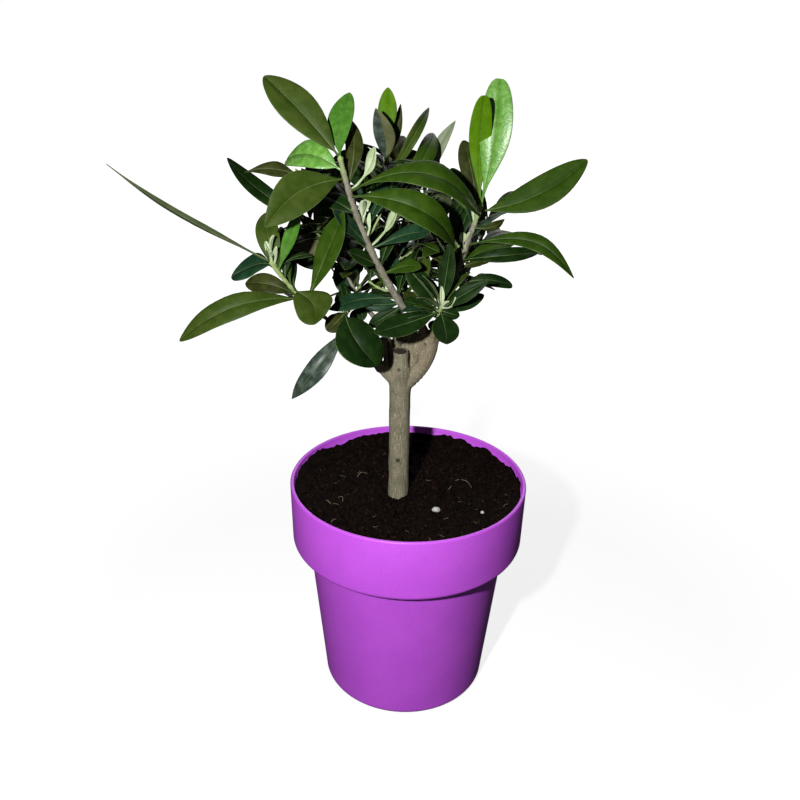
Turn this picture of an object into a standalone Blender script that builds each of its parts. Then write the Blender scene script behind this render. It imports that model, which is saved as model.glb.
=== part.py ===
"""An olive grown as a small bonsai in a collared plastic pot, as closed solids.

Lengths are in metres and angles in degrees. The origin is the middle of the pot's flat underside,
+Z is up, +X is to the right of the plant's front and +Y runs away behind it.
"""

import math
import random
from dataclasses import dataclass

import bmesh
import bpy
from mathutils import Vector
from mathutils.bvhtree import BVHTree

# Pot: a tapered body under a wider collar, one wall thick all over
RIM_RADIUS = 0.0650
COLLAR_FOOT_RADIUS = 0.0643
BODY_TOP_RADIUS = 0.0555
BODY_FOOT_RADIUS = 0.0466
POT_HEIGHT = 0.1280
COLLAR_HEIGHT = 0.0360
WALL = 0.0021
FLOOR = 0.0030
FOOT_ROUND = 0.0036
COLLAR_ROUND = 0.0030
POT_SIDES = 56
ARC_STEPS = 4

# Soil: fills the pot, level where the trunk stands and drawn up a little at the wall
SOIL_LEVEL = 0.1175
SOIL_DIP = 0.0010
SOIL_RISE = 0.0018
SOIL_LEVEL_RADIUS = 0.020
SOIL_DIP_RADIUS = 0.044

# Clearance between pieces that touch on the real plant
GAP = 0.0003
CLEARANCE = 0.0006

# Leaf solids: a rhombic section from the leaf stalk to the tip
STALK_SHARE = 0.12
STALK_WIDTH = 0.0014
LEAF_THICKNESS = 0.0007
THICKNESS_SHARE = 0.014
FOLD_SHARE = 0.10
BLADE_SHARES = ((0.34, 0.80), (0.62, 1.0), (0.86, 0.68))

# Leaves that grow by rule: the angle they open at along the shoot, and how far each one varies
OPEN_AT_FOOT = 70
OPEN_AT_TIP = 42
OPEN_SPREAD = 12
ROUND_SPREAD = 32
LIFT_RANGE = (-0.25, 0.20)
LENGTH_RANGE = (0.72, 1.12)
WIDTH_RANGE = (0.27, 0.35)
ARCH_RANGE = (0.06, 0.16)
TURN_SPREAD = 25
LAST_PAIR = 0.99
TRIES = 24

# Boughs leave their arm along it and bend outwards by this share of their length
BOUGH_BOW = 0.12
SOFT_EDGE = math.radians(50)

POT_COLOUR = (0.58, 0.12, 0.80)
SOIL_COLOUR = (0.022, 0.015, 0.012)
BARK_COLOUR = (0.21, 0.18, 0.12)
LEAF_COLOUR = (0.035, 0.085, 0.018)


@dataclass(frozen=True)
class Limb:
    """A tapering round limb whose middle line is a shallow parabola."""

    foot: Vector
    tip: Vector
    foot_radius: float
    tip_radius: float
    bow: Vector = Vector((0, 0, 0))
    foot_normal: Vector = None
    flare: float = 0.0
    swell: float = 0.0
    sides: int = 8
    steps: int = 4

    def point(self, share):
        return self.foot.lerp(self.tip, share) + self.bow * (4 * share * (1 - share))

    def direction(self, share):
        return (self.tip - self.foot + self.bow * (4 - 8 * share)).normalized()

    def radius(self, share):
        taper = self.foot_radius + (self.tip_radius - self.foot_radius) * share
        return taper + self.flare * (1 - share) ** 8 + self.swell * share ** 4


@dataclass(frozen=True)
class Leaf:
    """A leaf by the share of its shoot where it stands, and the bearing and rise of its chord."""

    at: float
    bearing: float
    rise: float
    length: float
    width: float
    arch: float = 0.08
    turn: float = 0.0


@dataclass(frozen=True)
class Shoot:
    """One mass of foliage: its stem, the leaves that show, and how many pairs grow by rule."""

    bough: str
    aside: tuple
    tip: tuple
    bow: tuple = (0, 0, 0)
    foot_radius: float = 0.0014
    tip_radius: float = 0.0009
    leaves: tuple = ()
    pairs: int = 0
    first_pair: float = 0.15
    leaf_length: float = 0.042
    facing: tuple = (0, 360)
    centre: tuple = (0, 0, 0)
    reach: tuple = (0.1, 0.1, 0.1)
    seed: int = 1


# Trunk and its short arms, which part just below the old cut
TRUNK_FOOT = Vector((-0.0054, -0.0040, SOIL_LEVEL + GAP))
FORK = Vector((-0.0057, -0.0035, 0.1960))
ARMS = {
    "right": Limb(Vector((-0.0040, -0.0030, 0.1860)), Vector((0.0095, -0.0010, 0.2120)), 0.0050, 0.0050,
                  bow=Vector((0.0026, -0.0005, -0.0016)), sides=10),
    "left": Limb(Vector((-0.0062, -0.0035, 0.1860)), Vector((-0.0160, -0.0060, 0.1965)), 0.0034, 0.0027,
                 bow=Vector((-0.0002, 0, -0.0004))),
    "back": Limb(Vector((-0.0050, -0.0015, 0.1870)), Vector((-0.0090, 0.0065, 0.2040)), 0.0038, 0.0037),
}
STUB = Limb(Vector((-0.0056, -0.0040, 0.1880)), Vector((-0.0056, -0.0056, 0.2035)), 0.0048, 0.0039, steps=2)

# Boughs by the arm they stand on: how far aside of its middle, the tip and the two radii
BOUGHS = {
    "centre": ("right", (-0.0027, -0.0006, 0), (-0.0050, -0.0070, 0.2300), 0.0023, 0.0021),
    "right": ("right", (0.0026, 0.0000, 0), (0.0178, -0.0010, 0.2340), 0.0022, 0.0018),
    "low_right": ("right", (0.0006, -0.0038, 0), (0.0122, -0.0170, 0.2260), 0.0014, 0.0011),
    "back_right": ("right", (0.0006, 0.0039, 0), (0.0225, 0.0125, 0.2280), 0.0017, 0.0014),
    "left": ("left", (0, 0, 0), (-0.0300, -0.0130, 0.2170), 0.0025, 0.0019),
    "top": ("back", (0.0020, -0.0012, 0), (-0.0060, 0.0070, 0.2240), 0.0016, 0.0015),
    "upper_left": ("back", (-0.0021, -0.0006, 0), (-0.0255, 0.0095, 0.2240), 0.0016, 0.0013),
    "back": ("back", (0.0003, 0.0026, 0), (-0.0030, 0.0240, 0.2280), 0.0016, 0.0013),
}

SHOOTS = {
    "centre": Shoot(
        "centre", (0, 0, 0), (-0.0340, -0.0310, 0.3060), foot_radius=0.0020, tip_radius=0.0012,
        leaves=(
            Leaf(1.00, 158, 42, 0.050, 0.0180, 0.03, -45),
            Leaf(1.00, 90, 50, 0.034, 0.0130, 0.08, 0),
            Leaf(0.92, 146, 11, 0.032, 0.0185, 0.20, -50),
            Leaf(0.88, 214, -22, 0.047, 0.0195, 0.10, -55),
            Leaf(0.82, 98, 52, 0.034, 0.0115, 0.10, -10),
            Leaf(0.80, -20, 65, 0.023, 0.0055, -0.08, 60),
            Leaf(0.76, 4, -7, 0.059, 0.0165, 0.22, 40),
            Leaf(0.70, -10, -20, 0.046, 0.0180, 0.14, 45),
            Leaf(0.66, 146, 18, 0.020, 0.0090, 0.10, -40),
            Leaf(0.52, 5, 75, 0.020, 0.0035, 0.06, 60),
            Leaf(0.43, -28, 25, 0.031, 0.0125, 0.08, 60),
            Leaf(0.44, -33, 66, 0.024, 0.0055, -0.10, 60),
            Leaf(0.40, 238, 46, 0.032, 0.0125, 0.06, -80),
            Leaf(0.28, 215, 27, 0.022, 0.0110, 0.08, -60),
            Leaf(0.25, -36, 19, 0.022, 0.0110, 0.12, 60),
            Leaf(0.06, 200, 8, 0.031, 0.0120, 0.06, -45),
        ),
        pairs=9, first_pair=0.05, facing=(20, 170), leaf_length=0.032, centre=(-0.012, 0.004, 0.262),
        reach=(0.040, 0.036, 0.042), seed=11,
    ),
    "right": Shoot(
        "right", (0, 0, 0), (0.0312, -0.0065, 0.2810), foot_radius=0.0017, tip_radius=0.0011,
        leaves=(
            Leaf(1.00, 62, 74, 0.060, 0.0155, 0.03, 10),
            Leaf(0.98, -120, 83, 0.051, 0.0110, 0.04, -165),
            Leaf(0.93, 8, 24, 0.057, 0.0165, -0.05, 55),
            Leaf(0.90, 112, 60, 0.037, 0.0100, 0.04, -30),
            Leaf(0.80, -20, 20, 0.021, 0.0070, 0.06, 100),
            Leaf(0.60, -21, -8, 0.054, 0.0145, 0.25, 42),
            Leaf(0.52, 150, 78, 0.014, 0.0040, 0.05, -60),
            Leaf(0.40, -3, 9, 0.033, 0.0120, 0.12, 45),
            Leaf(0.30, -44, 28, 0.018, 0.0070, 0.08, 60),
            Leaf(0.08, 7, 7, 0.031, 0.0105, 0.20, 50),
        ),
        pairs=8, first_pair=0.08, facing=(20, 200), leaf_length=0.034, centre=(0.028, 0.010, 0.256),
        reach=(0.036, 0.040, 0.040), seed=12,
    ),
    "low_right": Shoot(
        "low_right", (0, 0, 0), (0.0135, -0.0225, 0.2350), foot_radius=0.0010, tip_radius=0.0008,
        leaves=(
            Leaf(0.70, 210, -4, 0.037, 0.0145, 0.12, -35),
            Leaf(0.75, -84, -16, 0.026, 0.0165, 0.16, 5),
            Leaf(0.85, -10, 36, 0.028, 0.0110, 0.06, 60),
            Leaf(0.60, 16, 14, 0.022, 0.0095, 0.08, 45),
            Leaf(0.80, 160, 46, 0.026, 0.0120, 0.06, -40),
            Leaf(0.95, 0, 84, 0.033, 0.0090, 0.05, 70),
            Leaf(0.90, 120, 68, 0.014, 0.0030, 0.05, 0),
            Leaf(0.98, -40, 70, 0.010, 0.0028, 0.05, 0),
        ),
        pairs=6, first_pair=0.20, leaf_length=0.026, centre=(0.002, -0.012, 0.240),
        reach=(0.028, 0.022, 0.024), seed=13,
    ),
    "left": Shoot(
        "left", (-0.0009, 0.0006, 0), (-0.0660, -0.0340, 0.2590), bow=(-0.0020, -0.0012, -0.0022),
        foot_radius=0.0011, tip_radius=0.0009,
        leaves=(
            Leaf(1.00, 225, 35, 0.092, 0.0105, -0.03, 12),
            Leaf(0.97, 150, -18, 0.025, 0.0125, 0.10, -45),
            Leaf(0.86, 130, 46, 0.025, 0.0140, 0.10, -25),
            Leaf(0.90, -32, 74, 0.031, 0.0065, -0.06, 110),
            Leaf(0.80, 92, 50, 0.026, 0.0070, 0.06, 0),
            Leaf(0.92, 170, 62, 0.014, 0.0040, 0.05, -40),
            Leaf(0.96, -60, 70, 0.012, 0.0032, 0.05, 40),
            Leaf(0.60, 180, 20, 0.029, 0.0135, 0.10, -50),
            Leaf(0.56, 196, -13, 0.063, 0.0140, 0.17, -45),
            Leaf(0.54, -62, -14, 0.023, 0.0180, 0.14, 15),
            Leaf(0.52, -27, 61, 0.047, 0.0180, 0.05, 80),
        ),
        pairs=7, first_pair=0.20, facing=(20, 170), leaf_length=0.030, centre=(-0.046, -0.008, 0.246),
        reach=(0.030, 0.030, 0.030), seed=14,
    ),
    "low_left": Shoot(
        "left", (0.0008, -0.0008, 0), (-0.0335, -0.0215, 0.2310), foot_radius=0.0009, tip_radius=0.0008,
        leaves=(
            Leaf(0.90, -50, -38, 0.034, 0.0200, 0.10, 20),
            Leaf(0.40, 207, -48, 0.046, 0.0105, 0.02, -40),
            Leaf(0.80, 120, 20, 0.026, 0.0110, 0.08, -20),
        ),
    ),
    "top": Shoot(
        "top", (0, 0, 0), (-0.0160, 0.0090, 0.3060), foot_radius=0.0014, tip_radius=0.0009,
        leaves=(
            Leaf(1.00, 10, 84, 0.026, 0.0115, 0.04, 75),
            Leaf(0.92, -94, 66, 0.030, 0.0115, 0.10, -165),
            Leaf(0.90, 39, 60, 0.022, 0.0060, 0.06, 45),
            Leaf(0.78, 20, 58, 0.040, 0.0075, 0.10, 55),
            Leaf(0.62, 38, 53, 0.042, 0.0105, 0.08, 45),
            Leaf(0.88, -8, 14, 0.024, 0.0130, 0.14, 45),
        ),
        pairs=10, first_pair=0.06, leaf_length=0.037, centre=(-0.010, 0.008, 0.258),
        reach=(0.042, 0.040, 0.048), seed=21,
    ),
    "top_right": Shoot(
        "back_right", (-0.0004, -0.0003, 0.0010), (0.0040, 0.0150, 0.2850), foot_radius=0.0009,
        tip_radius=0.0008,
        leaves=(
            Leaf(0.96, -8, 65, 0.036, 0.0080, 0.04, 60),
        ),
        pairs=9, leaf_length=0.036, centre=(0.014, 0.014, 0.256), reach=(0.038, 0.040, 0.042), seed=22,
    ),
    "upper_left": Shoot(
        "upper_left", (-0.0009, -0.0006, 0), (-0.0580, 0.0070, 0.2930), foot_radius=0.0009, tip_radius=0.0008,
        leaves=(
            Leaf(0.96, 193, -1, 0.028, 0.0125, 0.06, -50),
            Leaf(0.60, 185, 33, 0.057, 0.0115, -0.02, -60),
        ),
        pairs=9, leaf_length=0.036, centre=(-0.040, 0.010, 0.258), reach=(0.036, 0.038, 0.042), seed=23,
    ),
    "back_left": Shoot(
        "upper_left", (0.0009, 0.0008, 0), (-0.0420, 0.0360, 0.2680), foot_radius=0.0009, tip_radius=0.0008,
        pairs=8, leaf_length=0.042, centre=(-0.038, 0.040, 0.254), reach=(0.044, 0.040, 0.050), seed=24,
    ),
    "back": Shoot(
        "back", (-0.0009, 0.0000, 0), (-0.0060, 0.0400, 0.2800), foot_radius=0.0009, tip_radius=0.0008,
        pairs=9, leaf_length=0.044, centre=(-0.004, 0.044, 0.264), reach=(0.046, 0.044, 0.052), seed=25,
    ),
    "back_low": Shoot(
        "back", (0.0010, 0.0000, 0), (0.0140, 0.0440, 0.2440), foot_radius=0.0009, tip_radius=0.0008,
        pairs=7, leaf_length=0.040, centre=(0.008, 0.046, 0.236), reach=(0.048, 0.040, 0.036), seed=26,
    ),
    "back_right": Shoot(
        "back_right", (0.0004, 0.0003, -0.0010), (0.0400, 0.0300, 0.2700), foot_radius=0.0009,
        tip_radius=0.0008,
        pairs=8, leaf_length=0.042, centre=(0.036, 0.030, 0.252), reach=(0.040, 0.044, 0.046), seed=27,
    ),
}


def clear_scene():
    """Remove what the start-up scene holds."""
    for item in list(bpy.data.objects):
        bpy.data.objects.remove(item, do_unlink=True)


def material(name, colour, roughness):
    """A plain finish in the part's colour."""
    finish = bpy.data.materials.new(name)
    finish.use_nodes = True
    shader = finish.node_tree.nodes["Principled BSDF"]
    shader.inputs["Base Color"].default_value = (*colour, 1)
    shader.inputs["Roughness"].default_value = roughness
    shader.inputs["Metallic"].default_value = 0
    return finish


def add_object(name, points, faces, finish):
    """Make an object from points and faces, with its faces pointing out."""
    mesh = bpy.data.meshes.new(name)
    mesh.from_pydata([tuple(point) for point in points], [], faces)
    outward = bmesh.new()
    outward.from_mesh(mesh)
    bmesh.ops.recalc_face_normals(outward, faces=outward.faces)
    outward.to_mesh(mesh)
    outward.free()
    mesh.materials.append(finish)
    item = bpy.data.objects.new(name, mesh)
    bpy.context.scene.collection.objects.link(item)
    return item


def arc(centre_r, centre_z, radius, start, end):
    """Profile points on an arc, from one angle to another."""
    angles = [math.radians(start + (end - start) * step / ARC_STEPS) for step in range(ARC_STEPS + 1)]
    return [(centre_r + radius * math.cos(a), centre_z + radius * math.sin(a)) for a in angles]


def turned(name, profile, finish):
    """Turn a profile that starts and ends on the axis into a closed solid."""
    rings = profile[1:-1]
    points = [Vector((0, 0, profile[0][1]))]
    for radius, height in rings:
        for side in range(POT_SIDES):
            angle = 2 * math.pi * side / POT_SIDES
            points.append(Vector((radius * math.cos(angle), radius * math.sin(angle), height)))
    points.append(Vector((0, 0, profile[-1][1])))
    faces = []
    last_ring = 1 + POT_SIDES * (len(rings) - 1)
    for side in range(POT_SIDES):
        after = (side + 1) % POT_SIDES
        faces.append((0, 1 + after, 1 + side))
        faces.append((len(points) - 1, last_ring + side, last_ring + after))
        for ring in range(len(rings) - 1):
            low = 1 + ring * POT_SIDES
            high = low + POT_SIDES
            faces.append((low + side, low + after, high + after, high + side))
    item = add_object(name, points, faces, finish)
    item.data.shade_smooth()
    item.data.set_sharp_from_angle(angle=SOFT_EDGE)
    return item


def build_pot(finish):
    """The collared pot, open at the top."""
    collar_foot = POT_HEIGHT - COLLAR_HEIGHT
    lip = WALL / 2
    profile = [(0, 0)]
    profile += arc(BODY_FOOT_RADIUS - FOOT_ROUND, FOOT_ROUND, FOOT_ROUND, -90, 0)
    profile += [(BODY_TOP_RADIUS, collar_foot)]
    profile += arc(COLLAR_FOOT_RADIUS - COLLAR_ROUND, collar_foot + COLLAR_ROUND, COLLAR_ROUND, -90, 0)
    profile += arc(RIM_RADIUS - lip, POT_HEIGHT - lip, lip, 0, 180)
    profile += [
        (COLLAR_FOOT_RADIUS - WALL, collar_foot + WALL),
        (BODY_TOP_RADIUS - WALL, collar_foot + WALL),
        (BODY_FOOT_RADIUS - WALL, FLOOR),
        (0, FLOOR),
    ]
    return turned("pot", profile, finish)


def build_soil(finish):
    """The soil, a little clear of the pot's inside all round."""
    collar_foot = POT_HEIGHT - COLLAR_HEIGHT
    edge = SOIL_LEVEL + SOIL_RISE
    up_collar = (edge - collar_foot) / COLLAR_HEIGHT
    edge_radius = COLLAR_FOOT_RADIUS + (RIM_RADIUS - COLLAR_FOOT_RADIUS) * up_collar - WALL - GAP
    profile = [
        (0, FLOOR + GAP),
        (BODY_FOOT_RADIUS - WALL - 2 * GAP, FLOOR + GAP),
        (BODY_TOP_RADIUS - WALL - GAP, collar_foot + WALL + GAP),
        (COLLAR_FOOT_RADIUS - WALL - GAP, collar_foot + WALL + GAP),
        (edge_radius, edge),
        (SOIL_DIP_RADIUS, SOIL_LEVEL - SOIL_DIP),
        (SOIL_LEVEL_RADIUS, SOIL_LEVEL),
        (0, SOIL_LEVEL),
    ]
    return turned("soil", profile, finish)


def ring_frame(normal):
    """Two directions across a limb, steady while the limb's own direction changes slowly."""
    across = Vector((0, 1, 0)) if abs(normal.y) < 0.9 else Vector((1, 0, 0))
    first = across.cross(normal).normalized()
    return first, normal.cross(first)


def tube(limb):
    """Points and faces of a limb, closed by a flat cut at each end."""
    points = []
    for step in range(limb.steps + 1):
        share = step / limb.steps
        normal = limb.direction(share)
        if step == 0 and limb.foot_normal is not None:
            normal = limb.foot_normal
        first, second = ring_frame(normal)
        for side in range(limb.sides):
            angle = 2 * math.pi * side / limb.sides
            offset = first * math.cos(angle) + second * math.sin(angle)
            points.append(limb.point(share) + offset * limb.radius(share))
    faces = [tuple(range(limb.sides)), tuple(limb.steps * limb.sides + side for side in range(limb.sides))]
    for step in range(limb.steps):
        low = step * limb.sides
        high = low + limb.sides
        for side in range(limb.sides):
            after = (side + 1) % limb.sides
            faces.append((low + side, low + after, high + after, high + side))
    return points, faces


def seated_foot(parent, aside):
    """Where a limb starts on the flat end of another, and the direction that the flat end faces."""
    normal = parent.direction(1)
    shift = Vector(aside)
    return parent.tip + shift - normal * shift.dot(normal) + normal * GAP, normal


def make_bough(name):
    """A bough on the flat end of its arm."""
    arm, aside, tip, foot_radius, tip_radius = BOUGHS[name]
    foot, normal = seated_foot(ARMS[arm], aside)
    bow = normal * (BOUGH_BOW * (Vector(tip) - foot).length)
    return Limb(foot, Vector(tip), foot_radius, tip_radius, bow=bow, foot_normal=normal)


def make_stem(shoot, boughs):
    """The stem of a foliage mass, on the flat end of its bough."""
    foot, normal = seated_foot(boughs[shoot.bough], shoot.aside)
    return Limb(foot, Vector(shoot.tip), shoot.foot_radius, shoot.tip_radius, bow=Vector(shoot.bow),
                foot_normal=normal, sides=6, steps=5)


def leaf_axes(leaf):
    """The leaf's direction, its width's direction and the way that its upper face looks."""
    bearing = math.radians(leaf.bearing)
    rise = math.radians(leaf.rise)
    turn = math.radians(leaf.turn)
    along = Vector((math.cos(bearing) * math.cos(rise), math.sin(bearing) * math.cos(rise), math.sin(rise)))
    level = Vector((-math.sin(bearing), math.cos(bearing), 0))
    upper = along.cross(level)
    across = level * math.cos(turn) + upper * math.sin(turn)
    return along, across, along.cross(across)


def leaf_mesh(leaf, stem, grow=0.0, blade_only=False):
    """Points and faces of a leaf, arched along its length and folded a little along its midrib."""
    along, across, upper = leaf_axes(leaf)
    root = stem.point(leaf.at)
    stalk = (STALK_SHARE, STALK_WIDTH / leaf.width)
    sections = [stalk, *BLADE_SHARES] if blade_only else [(0.0, stalk[1]), stalk, *BLADE_SHARES]
    thick = max(LEAF_THICKNESS, THICKNESS_SHARE * leaf.length) / 2 + grow
    points = []
    for share, width_share in sections:
        hump = leaf.arch * leaf.length * 4 * share * (1 - share)
        middle = root + along * (leaf.length * share) + upper * hump
        heading = (along + upper * (leaf.arch * (4 - 8 * share))).normalized()
        face = heading.cross(across)
        half = leaf.width * width_share / 2 + grow
        lift = face * (FOLD_SHARE * half)
        points += [middle + across * half + lift, middle + face * thick,
                   middle - across * half + lift, middle - face * thick]
    points.append(root + along * (leaf.length + grow))
    faces = [(0, 1, 2, 3)]
    for section in range(len(sections) - 1):
        for corner in range(4):
            after = (corner + 1) % 4
            low = section * 4
            faces.append((low + corner, low + after, low + 4 + after, low + 4 + corner))
    last = (len(sections) - 1) * 4
    faces += [(last + corner, last + (corner + 1) % 4, len(points) - 1) for corner in range(4)]
    return points, faces


def grown_leaf(shoot, stem, at, side, dice):
    """A leaf that leaves its shoot sideways at an angle that closes towards the tip."""
    heading = stem.direction(at)
    first, second = ring_frame(heading)
    opening = OPEN_AT_FOOT + (OPEN_AT_TIP - OPEN_AT_FOOT) * at
    open_angle = math.radians(opening + dice.uniform(-OPEN_SPREAD, OPEN_SPREAD))
    round_angle = side + math.radians(dice.uniform(-ROUND_SPREAD, ROUND_SPREAD))
    outward = first * math.cos(round_angle) + second * math.sin(round_angle)
    along = heading * math.cos(open_angle) + outward * math.sin(open_angle)
    along.z += dice.uniform(*LIFT_RANGE)
    along.normalize()
    length = shoot.leaf_length * dice.uniform(*LENGTH_RANGE)
    width = length * dice.uniform(*WIDTH_RANGE)
    return Leaf(at, math.degrees(math.atan2(along.y, along.x)), math.degrees(math.asin(along.z)),
                length, width, dice.uniform(*ARCH_RANGE), dice.uniform(-TURN_SPREAD, TURN_SPREAD))


def inside_space(leaf, shoot, stem):
    """Whether a leaf points the shoot's way and its tip stays in the space of its mass."""
    low, high = shoot.facing
    if not low <= leaf.bearing % 360 <= high:
        return False
    tip = stem.point(leaf.at) + leaf_axes(leaf)[0] * leaf.length
    away = tip - Vector(shoot.centre)
    return sum((away[axis] / shoot.reach[axis]) ** 2 for axis in range(3)) <= 1


def tree_of(shape):
    """A tree of faces for finding which shapes touch."""
    points, faces = shape
    return BVHTree.FromPolygons(points, faces)


class Crown:
    """The leaves placed so far, and what a new one has to keep clear of."""

    def __init__(self, stems, boughs):
        self.stems = stems
        self.solid = {name: [tree_of(tube(stem))] for name, stem in stems.items()}
        self.solid["limbs"] = [tree_of(tube(limb)) for limb in (*boughs.values(), *ARMS.values(), STUB)]
        self.blades = {name: [] for name in stems}
        self.kept = {name: [] for name in stems}

    def is_free(self, name, leaf, own_blades):
        """Whether a leaf clears the limbs and other masses and, where asked, its own mass's blades."""
        wide = tree_of(leaf_mesh(leaf, self.stems[name], grow=CLEARANCE))
        others = [tree for owner, trees in self.solid.items() if owner != name for tree in trees]
        if any(wide.overlap(tree) for tree in others):
            return False
        blade = tree_of(leaf_mesh(leaf, self.stems[name], blade_only=True))
        return not own_blades or not any(blade.overlap(tree) for tree in self.blades[name])

    def add(self, name, leaf):
        """Keep a leaf."""
        self.solid[name].append(tree_of(leaf_mesh(leaf, self.stems[name])))
        self.blades[name].append(tree_of(leaf_mesh(leaf, self.stems[name], blade_only=True)))
        self.kept[name].append(leaf)

    def grow_pairs(self, name, shoot):
        """Opposite pairs, each turned a quarter from the one below; a leaf with no room is left out."""
        dice = random.Random(shoot.seed)
        for pair in range(shoot.pairs):
            at = shoot.first_pair + (LAST_PAIR - shoot.first_pair) * pair / (shoot.pairs - 1)
            quarter = math.radians(45 + 90 * (pair % 2))
            for side in (quarter, quarter + math.pi):
                for _ in range(TRIES):
                    leaf = grown_leaf(shoot, self.stems[name], at, side, dice)
                    if inside_space(leaf, shoot, self.stems[name]) and self.is_free(name, leaf, True):
                        self.add(name, leaf)
                        break


def place_leaves(stems, boughs):
    """The leaves of every mass: first those that show, then those that fill the crown."""
    crown = Crown(stems, boughs)
    for name, shoot in SHOOTS.items():
        for leaf in shoot.leaves:
            if crown.is_free(name, leaf, False):
                crown.add(name, leaf)
    for name, shoot in SHOOTS.items():
        crown.grow_pairs(name, shoot)
    return crown.kept


def fused(name, shapes, finish):
    """Join shapes into one closed solid."""
    whole = add_object(name, *shapes[0], finish)
    parts = bpy.data.collections.new(name + "_parts")
    for shape in shapes[1:]:
        piece = add_object(name + "_piece", *shape, finish)
        bpy.context.scene.collection.objects.unlink(piece)
        parts.objects.link(piece)
    union = whole.modifiers.new("union", "BOOLEAN")
    union.operation = "UNION"
    union.operand_type = "COLLECTION"
    union.collection = parts
    union.solver = "EXACT"
    bpy.context.view_layer.update()
    graph = bpy.context.evaluated_depsgraph_get()
    joined = bpy.data.meshes.new_from_object(whole.evaluated_get(graph))
    whole.modifiers.remove(union)
    whole.data = joined
    for piece in list(parts.objects):
        bpy.data.objects.remove(piece, do_unlink=True)
    bpy.data.collections.remove(parts)
    joined.shade_smooth()
    joined.set_sharp_from_angle(angle=SOFT_EDGE)
    return whole


def build_trunk(finish):
    """The trunk from its flat cut at the soil to the fork, with its arms and the old cut stub."""
    stem = Limb(TRUNK_FOOT, FORK, 0.0056, 0.0054, flare=0.0010, swell=0.0010, sides=12, steps=6)
    return fused("trunk", [tube(stem), tube(STUB), *(tube(arm) for arm in ARMS.values())], finish)


def build_plant(bark, foliage):
    """Trunk, boughs and foliage masses."""
    build_trunk(bark)
    boughs = {name: make_bough(name) for name in BOUGHS}
    for name, bough in boughs.items():
        item = add_object("bough_" + name, *tube(bough), bark)
        item.data.shade_smooth()
        item.data.set_sharp_from_angle(angle=SOFT_EDGE)
    stems = {name: make_stem(shoot, boughs) for name, shoot in SHOOTS.items()}
    for name, leaves in place_leaves(stems, boughs).items():
        stem = stems[name]
        fused("mass_" + name, [tube(stem), *(leaf_mesh(leaf, stem) for leaf in leaves)], foliage)


def main():
    clear_scene()
    build_pot(material("purple_plastic", POT_COLOUR, 0.45))
    build_soil(material("soil", SOIL_COLOUR, 0.95))
    build_plant(material("bark", BARK_COLOUR, 0.85), material("olive_leaf", LEAF_COLOUR, 0.45))


main()
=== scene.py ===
"""Looks of an olive grown as a small bonsai in a collared purple pot.

Lengths are in metres and angles in degrees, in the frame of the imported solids: the origin is the
middle of the pot's flat underside, +Z is up, +X is to the right of the plant's front and +Y runs
away behind it. The leaves grow again here by the rule that places the solids, as fine blades.
"""

import logging
import math
import random
from dataclasses import dataclass, field, replace
from enum import Enum
from typing import Iterable, Sequence

import bmesh
import bpy
import numpy as np
from mathutils import Matrix, Vector, noise
from mathutils.bvhtree import BVHTree


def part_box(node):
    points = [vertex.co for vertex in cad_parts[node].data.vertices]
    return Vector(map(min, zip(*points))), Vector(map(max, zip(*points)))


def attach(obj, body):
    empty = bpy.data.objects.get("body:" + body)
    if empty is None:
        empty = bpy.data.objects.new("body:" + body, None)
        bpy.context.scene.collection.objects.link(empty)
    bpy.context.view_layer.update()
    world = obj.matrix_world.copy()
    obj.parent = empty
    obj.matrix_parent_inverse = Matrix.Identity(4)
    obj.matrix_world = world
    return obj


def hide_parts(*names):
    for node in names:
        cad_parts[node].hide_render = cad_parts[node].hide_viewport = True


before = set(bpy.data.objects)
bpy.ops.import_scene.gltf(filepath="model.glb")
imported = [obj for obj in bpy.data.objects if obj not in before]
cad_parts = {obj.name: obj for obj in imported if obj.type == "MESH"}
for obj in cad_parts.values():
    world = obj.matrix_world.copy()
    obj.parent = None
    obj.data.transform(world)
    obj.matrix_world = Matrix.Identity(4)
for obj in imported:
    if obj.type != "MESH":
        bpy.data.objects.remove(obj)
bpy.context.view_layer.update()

LOG = logging.getLogger("olive_bonsai")

Place = tuple[float, float, float]
Colour = Place
Pair = tuple[float, float]
Item = bpy.types.Object
Material = bpy.types.Material
Node = bpy.types.Node
Socket = bpy.types.NodeSocket
Tree = bpy.types.NodeTree
Faces = list[tuple[int, ...]]
Shape = tuple[list[Vector], Faces]

# Soil and the gaps that the solids keep
SOIL_LEVEL = 0.1175
GAP = 0.0003
CLEARANCE = 0.0006

# A full turn of a scattered thing, in radians
FULL_TURN = 6.28

# Plain leaf solids, which decide what touches what
STALK_SHARE = 0.12
STALK_WIDTH = 0.0014
LEAF_THICKNESS = 0.0007
THICKNESS_SHARE = 0.014
FOLD_SHARE = 0.10
BLADE_SHARES = ((0.34, 0.80), (0.62, 1.0), (0.86, 0.68))

# Leaves that grow by rule: the angle they open at along the shoot, and how far each one varies
OPEN_AT_FOOT = 70
OPEN_AT_TIP = 42
OPEN_SPREAD = 12
ROUND_SPREAD = 32
LIFT_RANGE = (-0.25, 0.20)
LENGTH_RANGE = (0.72, 1.12)
WIDTH_RANGE = (0.27, 0.35)
ARCH_RANGE = (0.06, 0.16)
TURN_SPREAD = 25
LAST_PAIR = 0.99
TRIES = 24
BOUGH_BOW = 0.12

# The share of a leaf from where a hooked tip turns down
HOOK_FROM = 0.6

# Side twigs that only the fine shoots have
SPRIG_SEED = 70
SPRIG_RANGE = (0.12, 0.88)
SPRIG_LENGTH = (0.012, 0.022)
SPRIG_OPENING = (40, 70)
SPRIG_RADII = (0.00065, 0.00045)
SPRIG_SAG = 0.10
SPRIG_LEAF = 0.72
SPRIG_PAIRS = 3
SPRIG_FIRST_PAIR = 0.35
SPRIG_CLEAR_FROM = 0.15


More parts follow.
